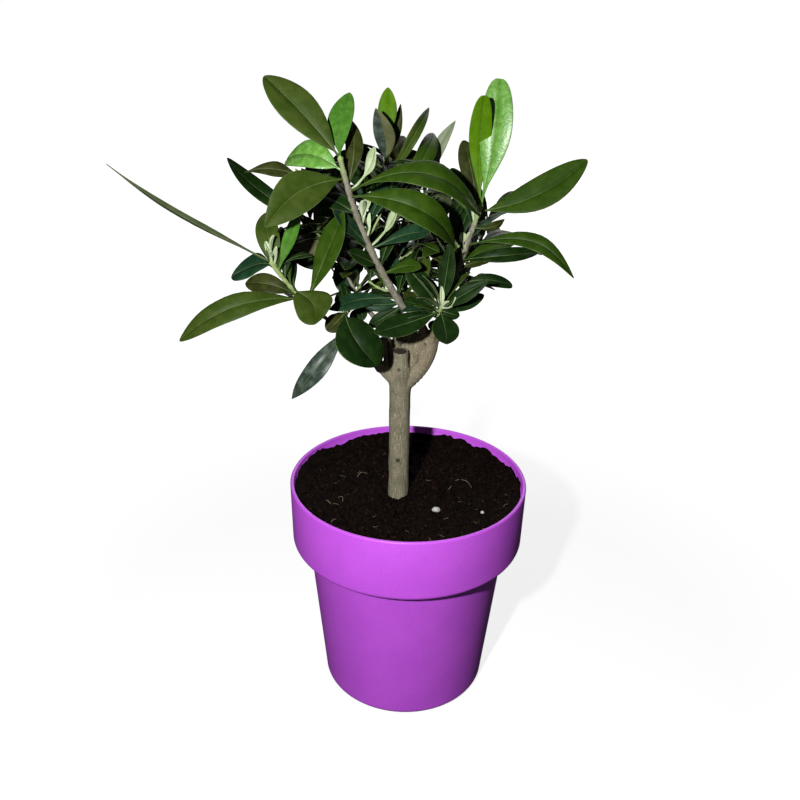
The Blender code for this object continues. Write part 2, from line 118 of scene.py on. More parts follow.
def srgb(red: float, green: float, blue: float) -> Colour:
    """Turn a colour of 0 to 255 as seen on a screen into the linear one that shaders use.

    Args:
        red: Red, 0 to 255.
        green: Green, 0 to 255.
        blue: Blue, 0 to 255.

    Returns:
        The linear colour, each channel 0 to 1.
    """
    def channel(value: float) -> float:
        """One channel."""
        share = value / 255
        return share / 12.92 if share <= 0.04045 else ((share + 0.055) / 1.055) ** 2.4

    return channel(red), channel(green), channel(blue)


class Look(Enum):
    """What a leaf looks like from above."""

    OLIVE = "olive"
    MOSS = "moss"
    DEEP = "deep"
    BLUE = "blue"
    LIME = "lime"
    LEAF = "leaf"
    FRESH = "fresh"
    KHAKI = "khaki"
    SAGE = "sage"
    PALE = "pale"
    FAWN = "fawn"
    # Grey-green with lighter grey patches: partly waxy bloom, partly painted sheen
    GREY = "grey"
    DUSK = "dusk"
    YOUNG = "young"


class Form(Enum):
    """A leaf's outline: where it is widest, how full it is below and above that, and its stalk."""

    LANCE = (0.50, 1.00, 0.82, 0.07)
    TAPER = (0.38, 1.10, 1.45, 0.05)
    LONG = (0.60, 1.10, 0.74, 0.08)
    OVAL = (0.55, 0.85, 0.62, 0.08)
    SPOON = (0.64, 1.15, 0.56, 0.08)
    BLUNT = (0.61, 1.28, 0.37, 0.08)
    ROUND = (0.54, 0.62, 0.50, 0.10)
    CLUB = (0.58, 1.20, 0.60, 0.36)

    @property
    def stalk(self) -> float:
        """The share of the leaf's length that is stalk."""
        return self.value[3]

    def width(self, share: float) -> float:
        """How wide the blade is at a share of its length, against its widest.

        Args:
            share: 0 where the blade leaves its stalk, 1 at its tip.

        Returns:
            The width, 0 to 1.
        """
        peak, foot, tip, _ = self.value
        if share < peak:
            return math.sin(math.pi / 2 * share / peak) ** foot
        return math.sin(math.pi / 2 * (1 - share) / (1 - peak)) ** tip


@dataclass(frozen=True)
class Limb:
    """A tapering round limb whose middle line is a shallow parabola."""

    foot: Vector
    tip: Vector
    foot_radius: float
    tip_radius: float
    bow: Vector = Vector((0, 0, 0))
    foot_normal: Vector | None = None
    flare: float = 0.0
    swell: float = 0.0
    sides: int = 8
    steps: int = 4

    def point(self, share: float) -> Vector:
        """The middle line's point at a share of its length."""
        return self.foot.lerp(self.tip, share) + self.bow * (4 * share * (1 - share))

    def direction(self, share: float) -> Vector:
        """The middle line's direction at a share of its length."""
        return (self.tip - self.foot + self.bow * (4 - 8 * share)).normalized()

    def radius(self, share: float) -> float:
        """The limb's radius at a share of its length."""
        taper = self.foot_radius + (self.tip_radius - self.foot_radius) * share
        return taper + self.flare * (1 - share) ** 8 + self.swell * share ** 4


@dataclass(frozen=True)
class Leaf:
    """A leaf by the share of its shoot where it stands, and the bearing and rise of its chord.

    Its solid has only the plain sizes. The fine blade also has a look, an outline and small
    departures: how far it droops and swings from the solid, how much longer and slimmer it is, how
    much more it humps, how far its tip hooks down, how far along its shoot it is shifted, how far it
    sways sideways, how deep it is folded, and the look of one half where it differs, such as a
    grey half with painted sheen.
    """

    at: float
    bearing: float
    rise: float
    length: float
    width: float
    arch: float = 0.08
    turn: float = 0.0
    look: Look = Look.DEEP
    form: Form = Form.OVAL
    droop: float = 0.0
    swing: float = 0.0
    stretch: float = 1.0
    slim: float = 1.0
    hump: float = 0.0
    hook: float = 0.0
    shift: float = 0.0
    sway: float | None = None
    fold: float | None = None
    other: Look | None = None

    def drawn(self) -> "Leaf":
        """The leaf with its departures from the solid worked in."""
        return replace(
            self, at=self.at + self.shift, bearing=self.bearing + self.swing, rise=self.rise - self.droop,
            length=self.length * self.stretch, width=self.width * self.slim, arch=self.arch + self.hump,
        )


@dataclass(frozen=True)
class Shoot:
    """One mass of foliage: its stem, the leaves that show, and how many pairs grow by rule.

    The fine stem leans aside from the plain one by a small bow of its own.
    """

    bough: str
    aside: Place
    tip: Place
    bow: Place = (0, 0, 0)
    lean: Place = (0, 0, 0)
    foot_radius: float = 0.0014
    tip_radius: float = 0.0009
    leaves: tuple[Leaf, ...] = ()
    pairs: int = 0
    first_pair: float = 0.15
    leaf_length: float = 0.042
    facing: Pair = (0, 360)
    centre: Place = (0, 0, 0)
    reach: Place = (0.1, 0.1, 0.1)
    seed: int = 1
    green_from: float = 0.85
    sprigs: int = 3


# Trunk and its short arms, which part just below the old cut
TRUNK_FOOT = Vector((-0.0054, -0.0040, SOIL_LEVEL + GAP))
FORK = Vector((-0.0057, -0.0035, 0.1960))
ARMS = {
    "right": Limb(Vector((-0.0040, -0.0030, 0.1860)), Vector((0.0095, -0.0010, 0.2120)), 0.0050, 0.0050,
                  bow=Vector((0.0026, -0.0005, -0.0016)), sides=10),
    "left": Limb(Vector((-0.0062, -0.0035, 0.1860)), Vector((-0.0160, -0.0060, 0.1965)), 0.0034, 0.0027,
                 bow=Vector((-0.0002, 0, -0.0004))),
    "back": Limb(Vector((-0.0050, -0.0015, 0.1870)), Vector((-0.0090, 0.0065, 0.2040)), 0.0038, 0.0037),
}
STUB = Limb(Vector((-0.0056, -0.0040, 0.1880)), Vector((-0.0056, -0.0056, 0.2035)), 0.0048, 0.0039, steps=2)

# Boughs by the arm they stand on: how far aside of its middle, the tip and the two radii
BOUGHS = {
    "centre": ("right", (-0.0027, -0.0006, 0), (-0.0050, -0.0070, 0.2300), 0.0023, 0.0021),
    "right": ("right", (0.0026, 0.0000, 0), (0.0178, -0.0010, 0.2340), 0.0022, 0.0018),
    "low_right": ("right", (0.0006, -0.0038, 0), (0.0122, -0.0170, 0.2260), 0.0014, 0.0011),
    "back_right": ("right", (0.0006, 0.0039, 0), (0.0225, 0.0125, 0.2280), 0.0017, 0.0014),
    "left": ("left", (0, 0, 0), (-0.0300, -0.0130, 0.2170), 0.0025, 0.0019),
    "top": ("back", (0.0020, -0.0012, 0), (-0.0060, 0.0070, 0.2240), 0.0016, 0.0015),
    "upper_left": ("back", (-0.0021, -0.0006, 0), (-0.0255, 0.0095, 0.2240), 0.0016, 0.0013),
    "back": ("back", (0.0003, 0.0026, 0), (-0.0030, 0.0240, 0.2280), 0.0016, 0.0013),
}

# The foliage masses by name, with the leaves that show in the photograph
SHOOTS = {
    "centre": Shoot(
        "centre", (0, 0, 0), (-0.0340, -0.0310, 0.3060), lean=(-0.0034, 0, -0.0012), foot_radius=0.0020,
        tip_radius=0.0012,
        leaves=(
            Leaf(1.00, 158, 42, 0.050, 0.0180, 0.03, -45, Look.OLIVE, droop=1, stretch=0.98, slim=0.96,
                 hump=0.01),
            Leaf(1.00, 90, 50, 0.034, 0.0130, 0.08, 0, Look.LEAF, swing=-8, stretch=0.97, slim=0.88,
                 hump=-0.06, sway=0.07),
            Leaf(0.92, 146, 11, 0.032, 0.0185, 0.20, -50, Look.LIME, Form.ROUND, droop=8, swing=3, slim=0.8,
                 sway=-0.06),
            Leaf(0.88, 214, -22, 0.047, 0.0195, 0.10, -55, Look.OLIVE, Form.LANCE, swing=2, stretch=0.95,
                 slim=0.94, hump=-0.05, sway=-0.11),
            Leaf(0.82, 98, 52, 0.034, 0.0115, 0.10, -10, Look.DUSK, Form.LANCE, swing=-10, slim=0.74,
                 sway=-0.08),
            Leaf(0.80, -20, 65, 0.023, 0.0055, -0.08, 60, Look.YOUNG, Form.CLUB, swing=2, droop=6,
                 stretch=1.05, slim=1.35, hump=-0.05, fold=0.3),
            Leaf(0.76, 4, -7, 0.059, 0.0165, 0.22, 40, Look.MOSS, Form.LONG, droop=2, stretch=1.05,
                 hump=0.10, hook=0.04, shift=0.04, sway=0.02),
            Leaf(0.70, -10, -20, 0.046, 0.0180, 0.14, 45, Look.MOSS, swing=8, stretch=1.15, slim=0.86,
                 hump=0.18, hook=0.12, shift=0.07, sway=-0.06),
            Leaf(0.66, 146, 18, 0.020, 0.0090, 0.10, -40),
            Leaf(0.52, 5, 75, 0.020, 0.0035, 0.06, 60, Look.YOUNG, Form.CLUB, swing=9, stretch=0.85,
                 hump=-0.16, shift=0.06),
            Leaf(0.43, -28, 25, 0.031, 0.0125, 0.08, 60, Look.BLUE, Form.LONG, droop=3, stretch=1.1,
                 slim=0.65, hump=-0.20, sway=0.12),
            Leaf(0.44, -33, 66, 0.024, 0.0055, -0.10, 60, Look.YOUNG, Form.CLUB, swing=7, droop=11,
                 stretch=1.05, slim=1.1, fold=0.4),
            Leaf(0.40, 238, 46, 0.032, 0.0125, 0.06, -80, Look.BLUE, Form.LONG, swing=-10, droop=4,
                 slim=0.60, hump=-0.07, shift=0.04),
            Leaf(0.28, 215, 27, 0.022, 0.0110, 0.08, -60, swing=2, droop=-2, stretch=0.9, slim=0.70,
                 hump=-0.08, shift=0.03),
            Leaf(0.25, -36, 19, 0.022, 0.0110, 0.12, 60, Look.MOSS, stretch=1.08, slim=0.65, hump=-0.20,
                 sway=0.12),
            Leaf(0.06, 200, 8, 0.031, 0.0120, 0.06, -45, Look.BLUE, Form.LONG, swing=3, droop=11,
                 stretch=1.15, slim=0.74, hump=-0.10, sway=-0.09),
        ),
        pairs=9, first_pair=0.05, facing=(20, 170), leaf_length=0.032, centre=(-0.012, 0.004, 0.262),
        reach=(0.040, 0.036, 0.042), seed=11,
    ),
    "right": Shoot(
        "right", (0, 0, 0), (0.0312, -0.0065, 0.2810), foot_radius=0.0017, tip_radius=0.0011,
        leaves=(
            Leaf(1.00, 62, 74, 0.060, 0.0155, 0.03, 10, Look.LIME, Form.BLUNT, droop=-5.5, swing=-7,
                 stretch=0.96, slim=1.02, hump=0.03, sway=-0.05),
            Leaf(0.98, -120, 83, 0.051, 0.0110, 0.04, -165, Look.FRESH, Form.BLUNT, swing=15, stretch=1.02,
                 slim=0.95, hump=-0.15),
            Leaf(0.93, 8, 24, 0.057, 0.0165, -0.05, 55, Look.MOSS, droop=-1, swing=1, hump=0.03,
                 sway=-0.08),
            Leaf(0.90, 112, 60, 0.037, 0.0100, 0.04, -30, Look.DUSK, Form.SPOON, swing=2, slim=1.05),
            Leaf(0.80, -20, 20, 0.021, 0.0070, 0.06, 100, Look.DUSK, Form.LANCE, swing=-12, droop=-2,
                 stretch=0.85, slim=0.65, hump=-0.15, shift=-0.04, sway=-0.13),
            Leaf(0.60, -21, -8, 0.054, 0.0145, 0.25, 42, Look.MOSS, Form.LONG, droop=-4.5, swing=2,
                 stretch=0.98, slim=0.7, hump=-0.27, hook=0.25, shift=-0.03, sway=0.18),
            Leaf(0.52, 150, 78, 0.014, 0.0040, 0.05, -60, Look.YOUNG, Form.CLUB, swing=17, stretch=0.62,
                 hump=0.08, sway=0.12),
            Leaf(0.40, -3, 9, 0.033, 0.0120, 0.12, 45, swing=6, droop=3, stretch=1.15, slim=0.68, hump=0.12,
                 sway=-0.12),
            Leaf(0.30, -44, 28, 0.018, 0.0070, 0.08, 60, Look.DUSK, swing=3, droop=6, stretch=1.1,
                 slim=0.55, hump=-0.14, sway=0.10),
            Leaf(0.08, 7, 7, 0.031, 0.0105, 0.20, 50, Look.DEEP, Form.BLUNT, droop=5, swing=-2, slim=0.7,
                 sway=0.04),
        ),
        pairs=8, first_pair=0.08, facing=(20, 200), leaf_length=0.034, centre=(0.028, 0.010, 0.256),
        reach=(0.036, 0.040, 0.040), seed=12, green_from=0.75,
    ),
    "low_right": Shoot(
        "low_right", (0, 0, 0), (0.0135, -0.0225, 0.2350), foot_radius=0.0010, tip_radius=0.0008,
        leaves=(
            Leaf(0.70, 210, -4, 0.037, 0.0145, 0.12, -35, swing=2, droop=3, slim=0.84, hump=-0.15),
            Leaf(0.75, -84, -16, 0.026, 0.0165, 0.16, 5, Look.DEEP, Form.ROUND, droop=1, slim=0.78,
                 hump=-0.20, sway=0.03),
            Leaf(0.85, -10, 36, 0.028, 0.0110, 0.06, 60, Look.DEEP, Form.LANCE, slim=0.72),
            Leaf(0.60, 16, 14, 0.022, 0.0095, 0.08, 45, droop=-3, swing=4, stretch=1.1, slim=0.9,
                 hump=-0.08),
            Leaf(0.80, 160, 46, 0.026, 0.0120, 0.06, -40),
            Leaf(0.95, 0, 84, 0.033, 0.0090, 0.05, 70, Look.DEEP, Form.LANCE, swing=-3, slim=0.92,
                 hump=-0.07),
            Leaf(0.90, 120, 68, 0.014, 0.0030, 0.05, 0, Look.YOUNG, Form.LANCE, swing=8, droop=6,
                 stretch=0.6, slim=0.8, sway=0.15),
            Leaf(0.98, -40, 70, 0.010, 0.0028, 0.05, 0, Look.YOUNG, Form.LANCE, swing=-12, droop=30,
                 stretch=0.75, slim=0.8),
        ),
        pairs=6, first_pair=0.20, leaf_length=0.026, centre=(0.002, -0.012, 0.240),
        reach=(0.028, 0.022, 0.024), seed=13, green_from=0.20,
    ),
    "left": Shoot(
        "left", (-0.0009, 0.0006, 0), (-0.0660, -0.0340, 0.2590), bow=(-0.0020, -0.0012, -0.0022),
        foot_radius=0.0011, tip_radius=0.0009,
        leaves=(
            Leaf(1.00, 225, 35, 0.092, 0.0105, -0.03, 12, Look.SAGE, Form.TAPER, slim=0.78, hump=0.04,
                 sway=-0.1),
            Leaf(0.97, 150, -18, 0.025, 0.0125, 0.10, -45, Look.BLUE, Form.SPOON, droop=3, swing=2,
                 stretch=1.06, slim=1.12, hump=-0.18, sway=-0.18),
            Leaf(0.86, 130, 46, 0.025, 0.0140, 0.10, -25, Look.OLIVE, Form.ROUND, droop=-6, swing=-16,
                 stretch=1.27, slim=0.78, hump=0.145, sway=0.02),
            Leaf(0.90, -32, 74, 0.031, 0.0065, -0.06, 110, Look.LEAF, Form.LANCE, droop=6, swing=14,
                 stretch=1.1, slim=0.95),
            Leaf(0.80, 92, 50, 0.026, 0.0070, 0.06, 0, Look.DEEP, Form.LANCE),
            Leaf(0.92, 170, 62, 0.014, 0.0040, 0.05, -40, Look.YOUNG, Form.CLUB, swing=-15, droop=-5,
                 slim=0.8, hump=-0.10),
            Leaf(0.96, -60, 70, 0.012, 0.0032, 0.05, 40, Look.YOUNG, Form.CLUB, droop=4, stretch=0.95,
                 slim=0.9, hump=-0.09),
            Leaf(0.60, 180, 20, 0.029, 0.0135, 0.10, -50, Look.DUSK, Form.SPOON, swing=-4, droop=8,
                 stretch=0.92, slim=0.78, hump=0.15),
            Leaf(0.56, 196, -13, 0.063, 0.0140, 0.17, -45, Look.OLIVE, droop=2, swing=1, stretch=0.97,
                 slim=0.95, hump=0.04, sway=-0.03),
            Leaf(0.54, -62, -14, 0.023, 0.0180, 0.14, 15, Look.OLIVE, Form.ROUND, droop=15, swing=8,
                 stretch=1.02, slim=1.05, hump=-0.17, shift=0.16, sway=0.2),
            Leaf(0.52, -27, 61, 0.047, 0.0180, 0.05, 80, Look.MOSS, Form.LONG, swing=3, droop=-5,
                 stretch=1.07, slim=0.72, hump=-0.10, sway=0.03),
        ),
        pairs=7, first_pair=0.20, facing=(20, 170), leaf_length=0.030, centre=(-0.046, -0.008, 0.246),
        reach=(0.030, 0.030, 0.030), seed=14, green_from=0.50,
    ),
    "low_left": Shoot(
        "left", (0.0008, -0.0008, 0), (-0.0335, -0.0215, 0.2310), foot_radius=0.0009, tip_radius=0.0008,
        leaves=(
            Leaf(0.90, -50, -38, 0.034, 0.0200, 0.10, 20, Look.DEEP, Form.ROUND, droop=10, swing=13,
                 stretch=0.9, slim=1.18, hump=0.08, shift=0.1, sway=-0.17),
            Leaf(0.40, 207, -48, 0.046, 0.0105, 0.02, -40, Look.GREY, Form.LANCE, droop=2, swing=-7,
                 stretch=1.02, slim=1.04, hump=0.22, sway=0.12),
            Leaf(0.80, 120, 20, 0.026, 0.0110, 0.08, -20, droop=2, swing=-18, stretch=0.83, slim=0.56),
        ),
    ),
    "top": Shoot(
        "top", (0, 0, 0), (-0.0160, 0.0090, 0.3060), foot_radius=0.0014, tip_radius=0.0009,
        leaves=(
            Leaf(1.00, 10, 84, 0.026, 0.0115, 0.04, 75, Look.FRESH, swing=-2, droop=-2, slim=0.80,
                 hump=-0.10),
            # Khaki, with one half grey-green that carries painted sheen
            Leaf(0.92, -94, 66, 0.030, 0.0115, 0.10, -165, Look.KHAKI, Form.LANCE, swing=-15, droop=3,
                 stretch=1.05, slim=0.88, hump=-0.12, shift=-0.04, sway=-0.06, other=Look.GREY),
            Leaf(0.90, 39, 60, 0.022, 0.0060, 0.06, 45, Look.DUSK, Form.LANCE, swing=17, droop=-5,
                 stretch=1.3, slim=0.8, hump=-0.08, sway=-0.05),
            Leaf(0.78, 20, 58, 0.040, 0.0075, 0.10, 55, Look.OLIVE, Form.LANCE, droop=3, swing=15,
                 stretch=1.03, slim=0.72, hump=0.35, sway=-0.01, fold=0.5),
            Leaf(0.62, 38, 53, 0.042, 0.0105, 0.08, 45, Look.MOSS, Form.SPOON, swing=6, droop=3,
                 stretch=1.05, slim=0.88, hump=0.30, sway=-0.06),
            Leaf(0.88, -8, 14, 0.024, 0.0130, 0.14, 45, Look.DUSK, swing=-6, droop=4, stretch=0.85,
                 slim=0.66, hump=-0.15, sway=0.15),
        ),
        pairs=10, first_pair=0.06, leaf_length=0.037, centre=(-0.010, 0.008, 0.258),
        reach=(0.042, 0.040, 0.048), seed=21, sprigs=5,
    ),
    "top_right": Shoot(
        "back_right", (-0.0004, -0.0003, 0.0010), (0.0040, 0.0150, 0.2850), foot_radius=0.0009,
        tip_radius=0.0008,
        leaves=(
            Leaf(0.96, -8, 65, 0.036, 0.0080, 0.04, 60, Look.PALE, Form.LANCE, droop=-3, swing=-10,
                 stretch=1.04, slim=0.95, hump=-0.2, sway=0.2),
        ),
        pairs=9, leaf_length=0.036, centre=(0.014, 0.014, 0.256), reach=(0.038, 0.040, 0.042), seed=22,
        sprigs=5,
    ),
    "upper_left": Shoot(
        "upper_left", (-0.0009, -0.0006, 0), (-0.0580, 0.0070, 0.2930), foot_radius=0.0009,
        tip_radius=0.0008,
        leaves=(
            Leaf(0.96, 193, -1, 0.028, 0.0125, 0.06, -50, Look.DUSK, Form.TAPER, droop=-6, swing=-1,
                 stretch=0.95, slim=0.68, hump=0.06, sway=-0.04),
            Leaf(0.60, 185, 33, 0.057, 0.0115, -0.02, -60, droop=-4, swing=5, slim=0.86, hump=-0.32,
                 sway=-0.06),
        ),
        pairs=9, leaf_length=0.036, centre=(-0.040, 0.010, 0.258), reach=(0.036, 0.038, 0.042), seed=23,
        sprigs=5,
    ),
    "back_left": Shoot(
        "upper_left", (0.0009, 0.0008, 0), (-0.0420, 0.0360, 0.2680), foot_radius=0.0009, tip_radius=0.0008,
        pairs=8, leaf_length=0.042, centre=(-0.038, 0.040, 0.254), reach=(0.044, 0.040, 0.050), seed=24,
        sprigs=4,
    ),
    "back": Shoot(
        "back", (-0.0009, 0.0000, 0), (-0.0060, 0.0400, 0.2800), foot_radius=0.0009, tip_radius=0.0008,
        pairs=9, leaf_length=0.044, centre=(-0.004, 0.044, 0.264), reach=(0.046, 0.044, 0.052), seed=25,
        sprigs=5,
    ),
    "back_low": Shoot(
        "back", (0.0010, 0.0000, 0), (0.0140, 0.0440, 0.2440), foot_radius=0.0009, tip_radius=0.0008,
        pairs=7, leaf_length=0.040, centre=(0.008, 0.046, 0.236), reach=(0.048, 0.040, 0.036), seed=26,
        sprigs=4,
    ),
    "back_right": Shoot(
        "back_right", (0.0004, 0.0003, -0.0010), (0.0400, 0.0300, 0.2700), foot_radius=0.0009,
        tip_radius=0.0008,
        pairs=8, leaf_length=0.042, centre=(0.036, 0.030, 0.252), reach=(0.040, 0.044, 0.046), seed=27,
        sprigs=4,
    ),
}


def inner(at: float, bearing: float, rise: float, length: float, width: float, turn: float,
          look: Look = Look.DEEP, form: Form = Form.OVAL) -> Leaf:
    """A small leaf deep in the crown, by the same values as any other."""
    return Leaf(at, bearing, rise, length, width, 0.08, turn, look, form)


def bud(at: float, bearing: float, rise: float, length: float, width: float, arch: float,
        turn: float = 0.0, form: Form = Form.CLUB) -> Leaf:
    """A small pale young leaf, by the same values as any other."""
    return Leaf(at, bearing, rise, length, width, arch, turn, Look.YOUNG, form)


# Small dark leaves that close the inside of the crown and only the fine shoots carry, by mass
INNER = {
    "left": (
        inner(0.68, 97, 25, 0.0240, 0.0047, 0), inner(0.80, 100, 31, 0.0350, 0.0070, -5, Look.DUSK),
    ),
    "right": (
        inner(0.85, 124, 44, 0.0300, 0.0101, -40, Look.MOSS), inner(0.45, 91, 40, 0.0180, 0.0050, -5),
    ),
    "low_right": (
        inner(0.80, 144, 0, 0.0220, 0.0075, -70),
        inner(0.15, 129, -50, 0.0090, 0.0046, -120, form=Form.ROUND),
        inner(0.80, 16, -20, 0.0105, 0.0056, 75), inner(0.40, 139, 15, 0.0240, 0.0081, -55, Look.DUSK),
    ),
    "centre": (
        inner(0.00, -173, -32, 0.0200, 0.0075, -70), inner(0.02, -173, -2, 0.0190, 0.0072, -70, Look.BLUE),
    ),
    "top": (
        inner(0.85, 157, 29, 0.0260, 0.0075, -70, Look.DUSK), inner(0.72, 160, 21, 0.0250, 0.0090, -70),
        inner(0.62, 169, 21, 0.0230, 0.0080, -75, Look.BLUE), inner(0.35, -168, 45, 0.0200, 0.0075, -85),
        inner(0.50, 173, 20, 0.0220, 0.0074, -75, Look.KHAKI), inner(0.15, -150, 42, 0.0210, 0.0080, -95),
        inner(0.10, -160, 74, 0.0240, 0.0080, -105, Look.BLUE),
    ),
    "low_left": (
        inner(0.30, 145, 26, 0.0110, 0.0062, -55),
        inner(0.95, -134, -28, 0.0130, 0.0091, -50, Look.DUSK, form=Form.ROUND),
    ),
    "upper_left": (
        inner(0.55, -139, 69, 0.0160, 0.0080, -120, Look.KHAKI, form=Form.ROUND),
        inner(0.45, 169, 14, 0.0250, 0.0100, -70, Look.DUSK), inner(0.30, 166, 12, 0.0310, 0.0100, -70),
        inner(0.80, 78, 45, 0.0290, 0.0110, 20), inner(0.50, 152, 29, 0.0210, 0.0056, -60, Look.DUSK),
        inner(0.45, -174, 7, 0.0220, 0.0110, -75, Look.FAWN),
        inner(0.60, -142, -61, 0.0150, 0.0056, -55, Look.KHAKI), inner(0.03, -81, -39, 0.0110, 0.0060, 5),
        inner(0.00, -156, -53, 0.0100, 0.0060, -60),
    ),
    "back_left": (
        inner(0.50, -98, -43, 0.0220, 0.0140, -15, Look.BLUE, form=Form.ROUND),
        inner(0.75, -81, -39, 0.0220, 0.0090, 5), inner(0.30, -55, 59, 0.0120, 0.0050, 140),
    ),
    "back_right": (
        inner(0.40, 95, 54, 0.0120, 0.0050, -10, Look.DUSK),
    ),
}

# Small pale leaves and buds that only the fine shoots carry, by mass
BUDS = {
    "left": (
        bud(0.99, 140, 66, 0.0095, 0.0030, 0.10), bud(0.98, -90, 60, 0.0080, 0.0026, 0.10),
        bud(1.00, -20, 80, 0.0130, 0.0036, 0.05, 30), bud(0.93, 60, 70, 0.0090, 0.0028, 0.10),
    ),
    "right": (
        bud(0.80, -95, 76, 0.0120, 0.0020, 0.06, 20, form=Form.LANCE),
        bud(0.84, -140, 80, 0.0100, 0.0020, 0.06, 20, form=Form.LANCE),
        bud(0.56, -60, 74, 0.0080, 0.0022, 0.05, 20, form=Form.LANCE),
    ),
    "low_right": (
        bud(1.00, 100, 78, 0.0110, 0.0024, 0.25, form=Form.LANCE),
        bud(1.00, -15, 42, 0.0090, 0.0020, -0.30, form=Form.LANCE),
        bud(1.00, -80, 74, 0.0050, 0.0030, 0.05, form=Form.ROUND),
        bud(0.97, 180, 60, 0.0060, 0.0020, -0.20, form=Form.LANCE),
    ),
    "centre": (
        bud(0.56, -80, 76, 0.0150, 0.0034, 0.12), bud(0.50, -40, 80, 0.0130, 0.0028, -0.12),
        bud(0.88, 200, 55, 0.0060, 0.0022, 0.10, form=Form.LANCE),
        bud(0.47, 170, 70, 0.0080, 0.0024, 0.10),
    ),
    "top": (
        bud(1.00, -120, 76, 0.0080, 0.0024, 0.05, form=Form.LANCE),
        bud(1.00, 60, 78, 0.0070, 0.0022, 0.05, form=Form.LANCE),
    ),
}


@dataclass(frozen=True)
class Window:
    """A part of the photograph, in its pixels, where the sky shows through or beside the crown."""

    left: float
    top: float
    right: float
    low: float

    def holds(self, x: float, y: float) -> bool:
        """Whether a pixel lies in it."""
        return self.left <= x <= self.right and self.top <= y <= self.low


# Where the photograph shows sky, so that no leaf grown by rule stands there
OPEN_SKY = {
    "right of the left twig": Window(298, 264, 313, 289),
    "between the low left leaves": Window(321, 278, 335, 296),
    "between the top leaves": Window(409, 132, 421, 150),
    "left of the tall right leaves": Window(440, 150, 456, 166),
    "right of the tall right leaves": Window(484, 183, 516, 206),
    "under the right leaf": Window(500, 216, 550, 231),
    "over the lowest right leaf": Window(487, 264, 580, 277),
    "past the lowest right leaf": Window(515, 277, 580, 300),
    "under the right mass": Window(487, 294, 600, 345),
}


def ring_frame(normal: Vector) -> tuple[Vector, Vector]:
    """Two directions across a limb, steady while the limb's own direction changes slowly.

    Args:
        normal: The limb's direction.

    Returns:
        Two unit vectors square to it and to each other.
    """
    across = Vector((0, 1, 0)) if abs(normal.y) < 0.9 else Vector((1, 0, 0))
    first = across.cross(normal).normalized()
    return first, normal.cross(first)


def band(rings: int, sides: int) -> Faces:
    """The faces between rings of points that follow each other.

    Args:
        rings: How many rings there are.
        sides: How many points each ring has.

    Returns:
        The faces, ring by ring.
    """
    faces: Faces = []
    for low in range(0, (rings - 1) * sides, sides):
        for side in range(sides):
            after = (side + 1) % sides
            faces.append((low + side, low + after, low + sides + after, low + sides + side))
    return faces


def fan(first: int, sides: int, tip: int) -> Faces:
    """The faces from a ring of points to one point."""
    return [(first + side, first + (side + 1) % sides, tip) for side in range(sides)]


def joined(shapes: Iterable[Shape]) -> Shape:
    """Several shapes as one."""
    points: list[Vector] = []
    faces: Faces = []
    for more_points, more_faces in shapes:
        first = len(points)
        points += more_points
        faces += [tuple(first + corner for corner in face) for face in more_faces]
    return points, faces


def tube(limb: Limb, start: float = 0.0, stop: float = 1.0) -> Shape:
    """Points and faces of a limb, closed by a flat cut at each end.

    Args:
        limb: The limb.
        start: Share where it starts; under 0 it is carried on backwards.
        stop: Share where it ends; over 1 it is carried on forwards.

    Returns:
        The shape.
    """
    points = []
    for step in range(limb.steps + 1):
        share = start + (stop - start) * step / limb.steps
        normal = limb.direction(share)
        if step == 0 and start == 0 and limb.foot_normal is not None:
            normal = limb.foot_normal
        first, second = ring_frame(normal)
        for side in range(limb.sides):
            angle = 2 * math.pi * side / limb.sides
            offset = first * math.cos(angle) + second * math.sin(angle)
            points.append(limb.point(share) + offset * limb.radius(share))
    last = limb.steps * limb.sides
    caps: Faces = [tuple(range(limb.sides)), tuple(range(last, last + limb.sides))]
    return points, caps + band(limb.steps + 1, limb.sides)


def seated_foot(parent: Limb, aside: Sequence[float]) -> tuple[Vector, Vector]:
    """Where a limb starts on the flat end of another.

    Args:
        parent: The limb that carries it.
        aside: How far from the middle of that limb's end it stands.

    Returns:
        The point, and the direction that the flat end faces.
    """
    normal = parent.direction(1)
    shift = Vector(aside)
    return parent.tip + shift - normal * shift.dot(normal) + normal * GAP, normal


def make_bough(name: str) -> Limb:
    """The bough of that name, on the flat end of its arm."""
    arm, aside, tip, foot_radius, tip_radius = BOUGHS[name]
    foot, normal = seated_foot(ARMS[arm], aside)
    bow = normal * (BOUGH_BOW * (Vector(tip) - foot).length)
    return Limb(foot, Vector(tip), foot_radius, tip_radius, bow=bow, foot_normal=normal)


def make_stem(shoot: Shoot, boughs: dict[str, Limb]) -> Limb:
    """The stem of a foliage mass, on the flat end of its bough."""
    foot, normal = seated_foot(boughs[shoot.bough], shoot.aside)
    return Limb(foot, Vector(shoot.tip), shoot.foot_radius, shoot.tip_radius, bow=Vector(shoot.bow),
                foot_normal=normal, sides=6, steps=5)


def leaf_axes(leaf: Leaf) -> tuple[Vector, Vector, Vector]:
    """The leaf's direction, its width's direction and the way that its upper face looks."""
    bearing = math.radians(leaf.bearing)
    rise = math.radians(leaf.rise)
    turn = math.radians(leaf.turn)
    along = Vector((math.cos(bearing) * math.cos(rise), math.sin(bearing) * math.cos(rise), math.sin(rise)))
    level = Vector((-math.sin(bearing), math.cos(bearing), 0))
    upper = along.cross(level)
    across = level * math.cos(turn) + upper * math.sin(turn)
    return along, across, along.cross(across)


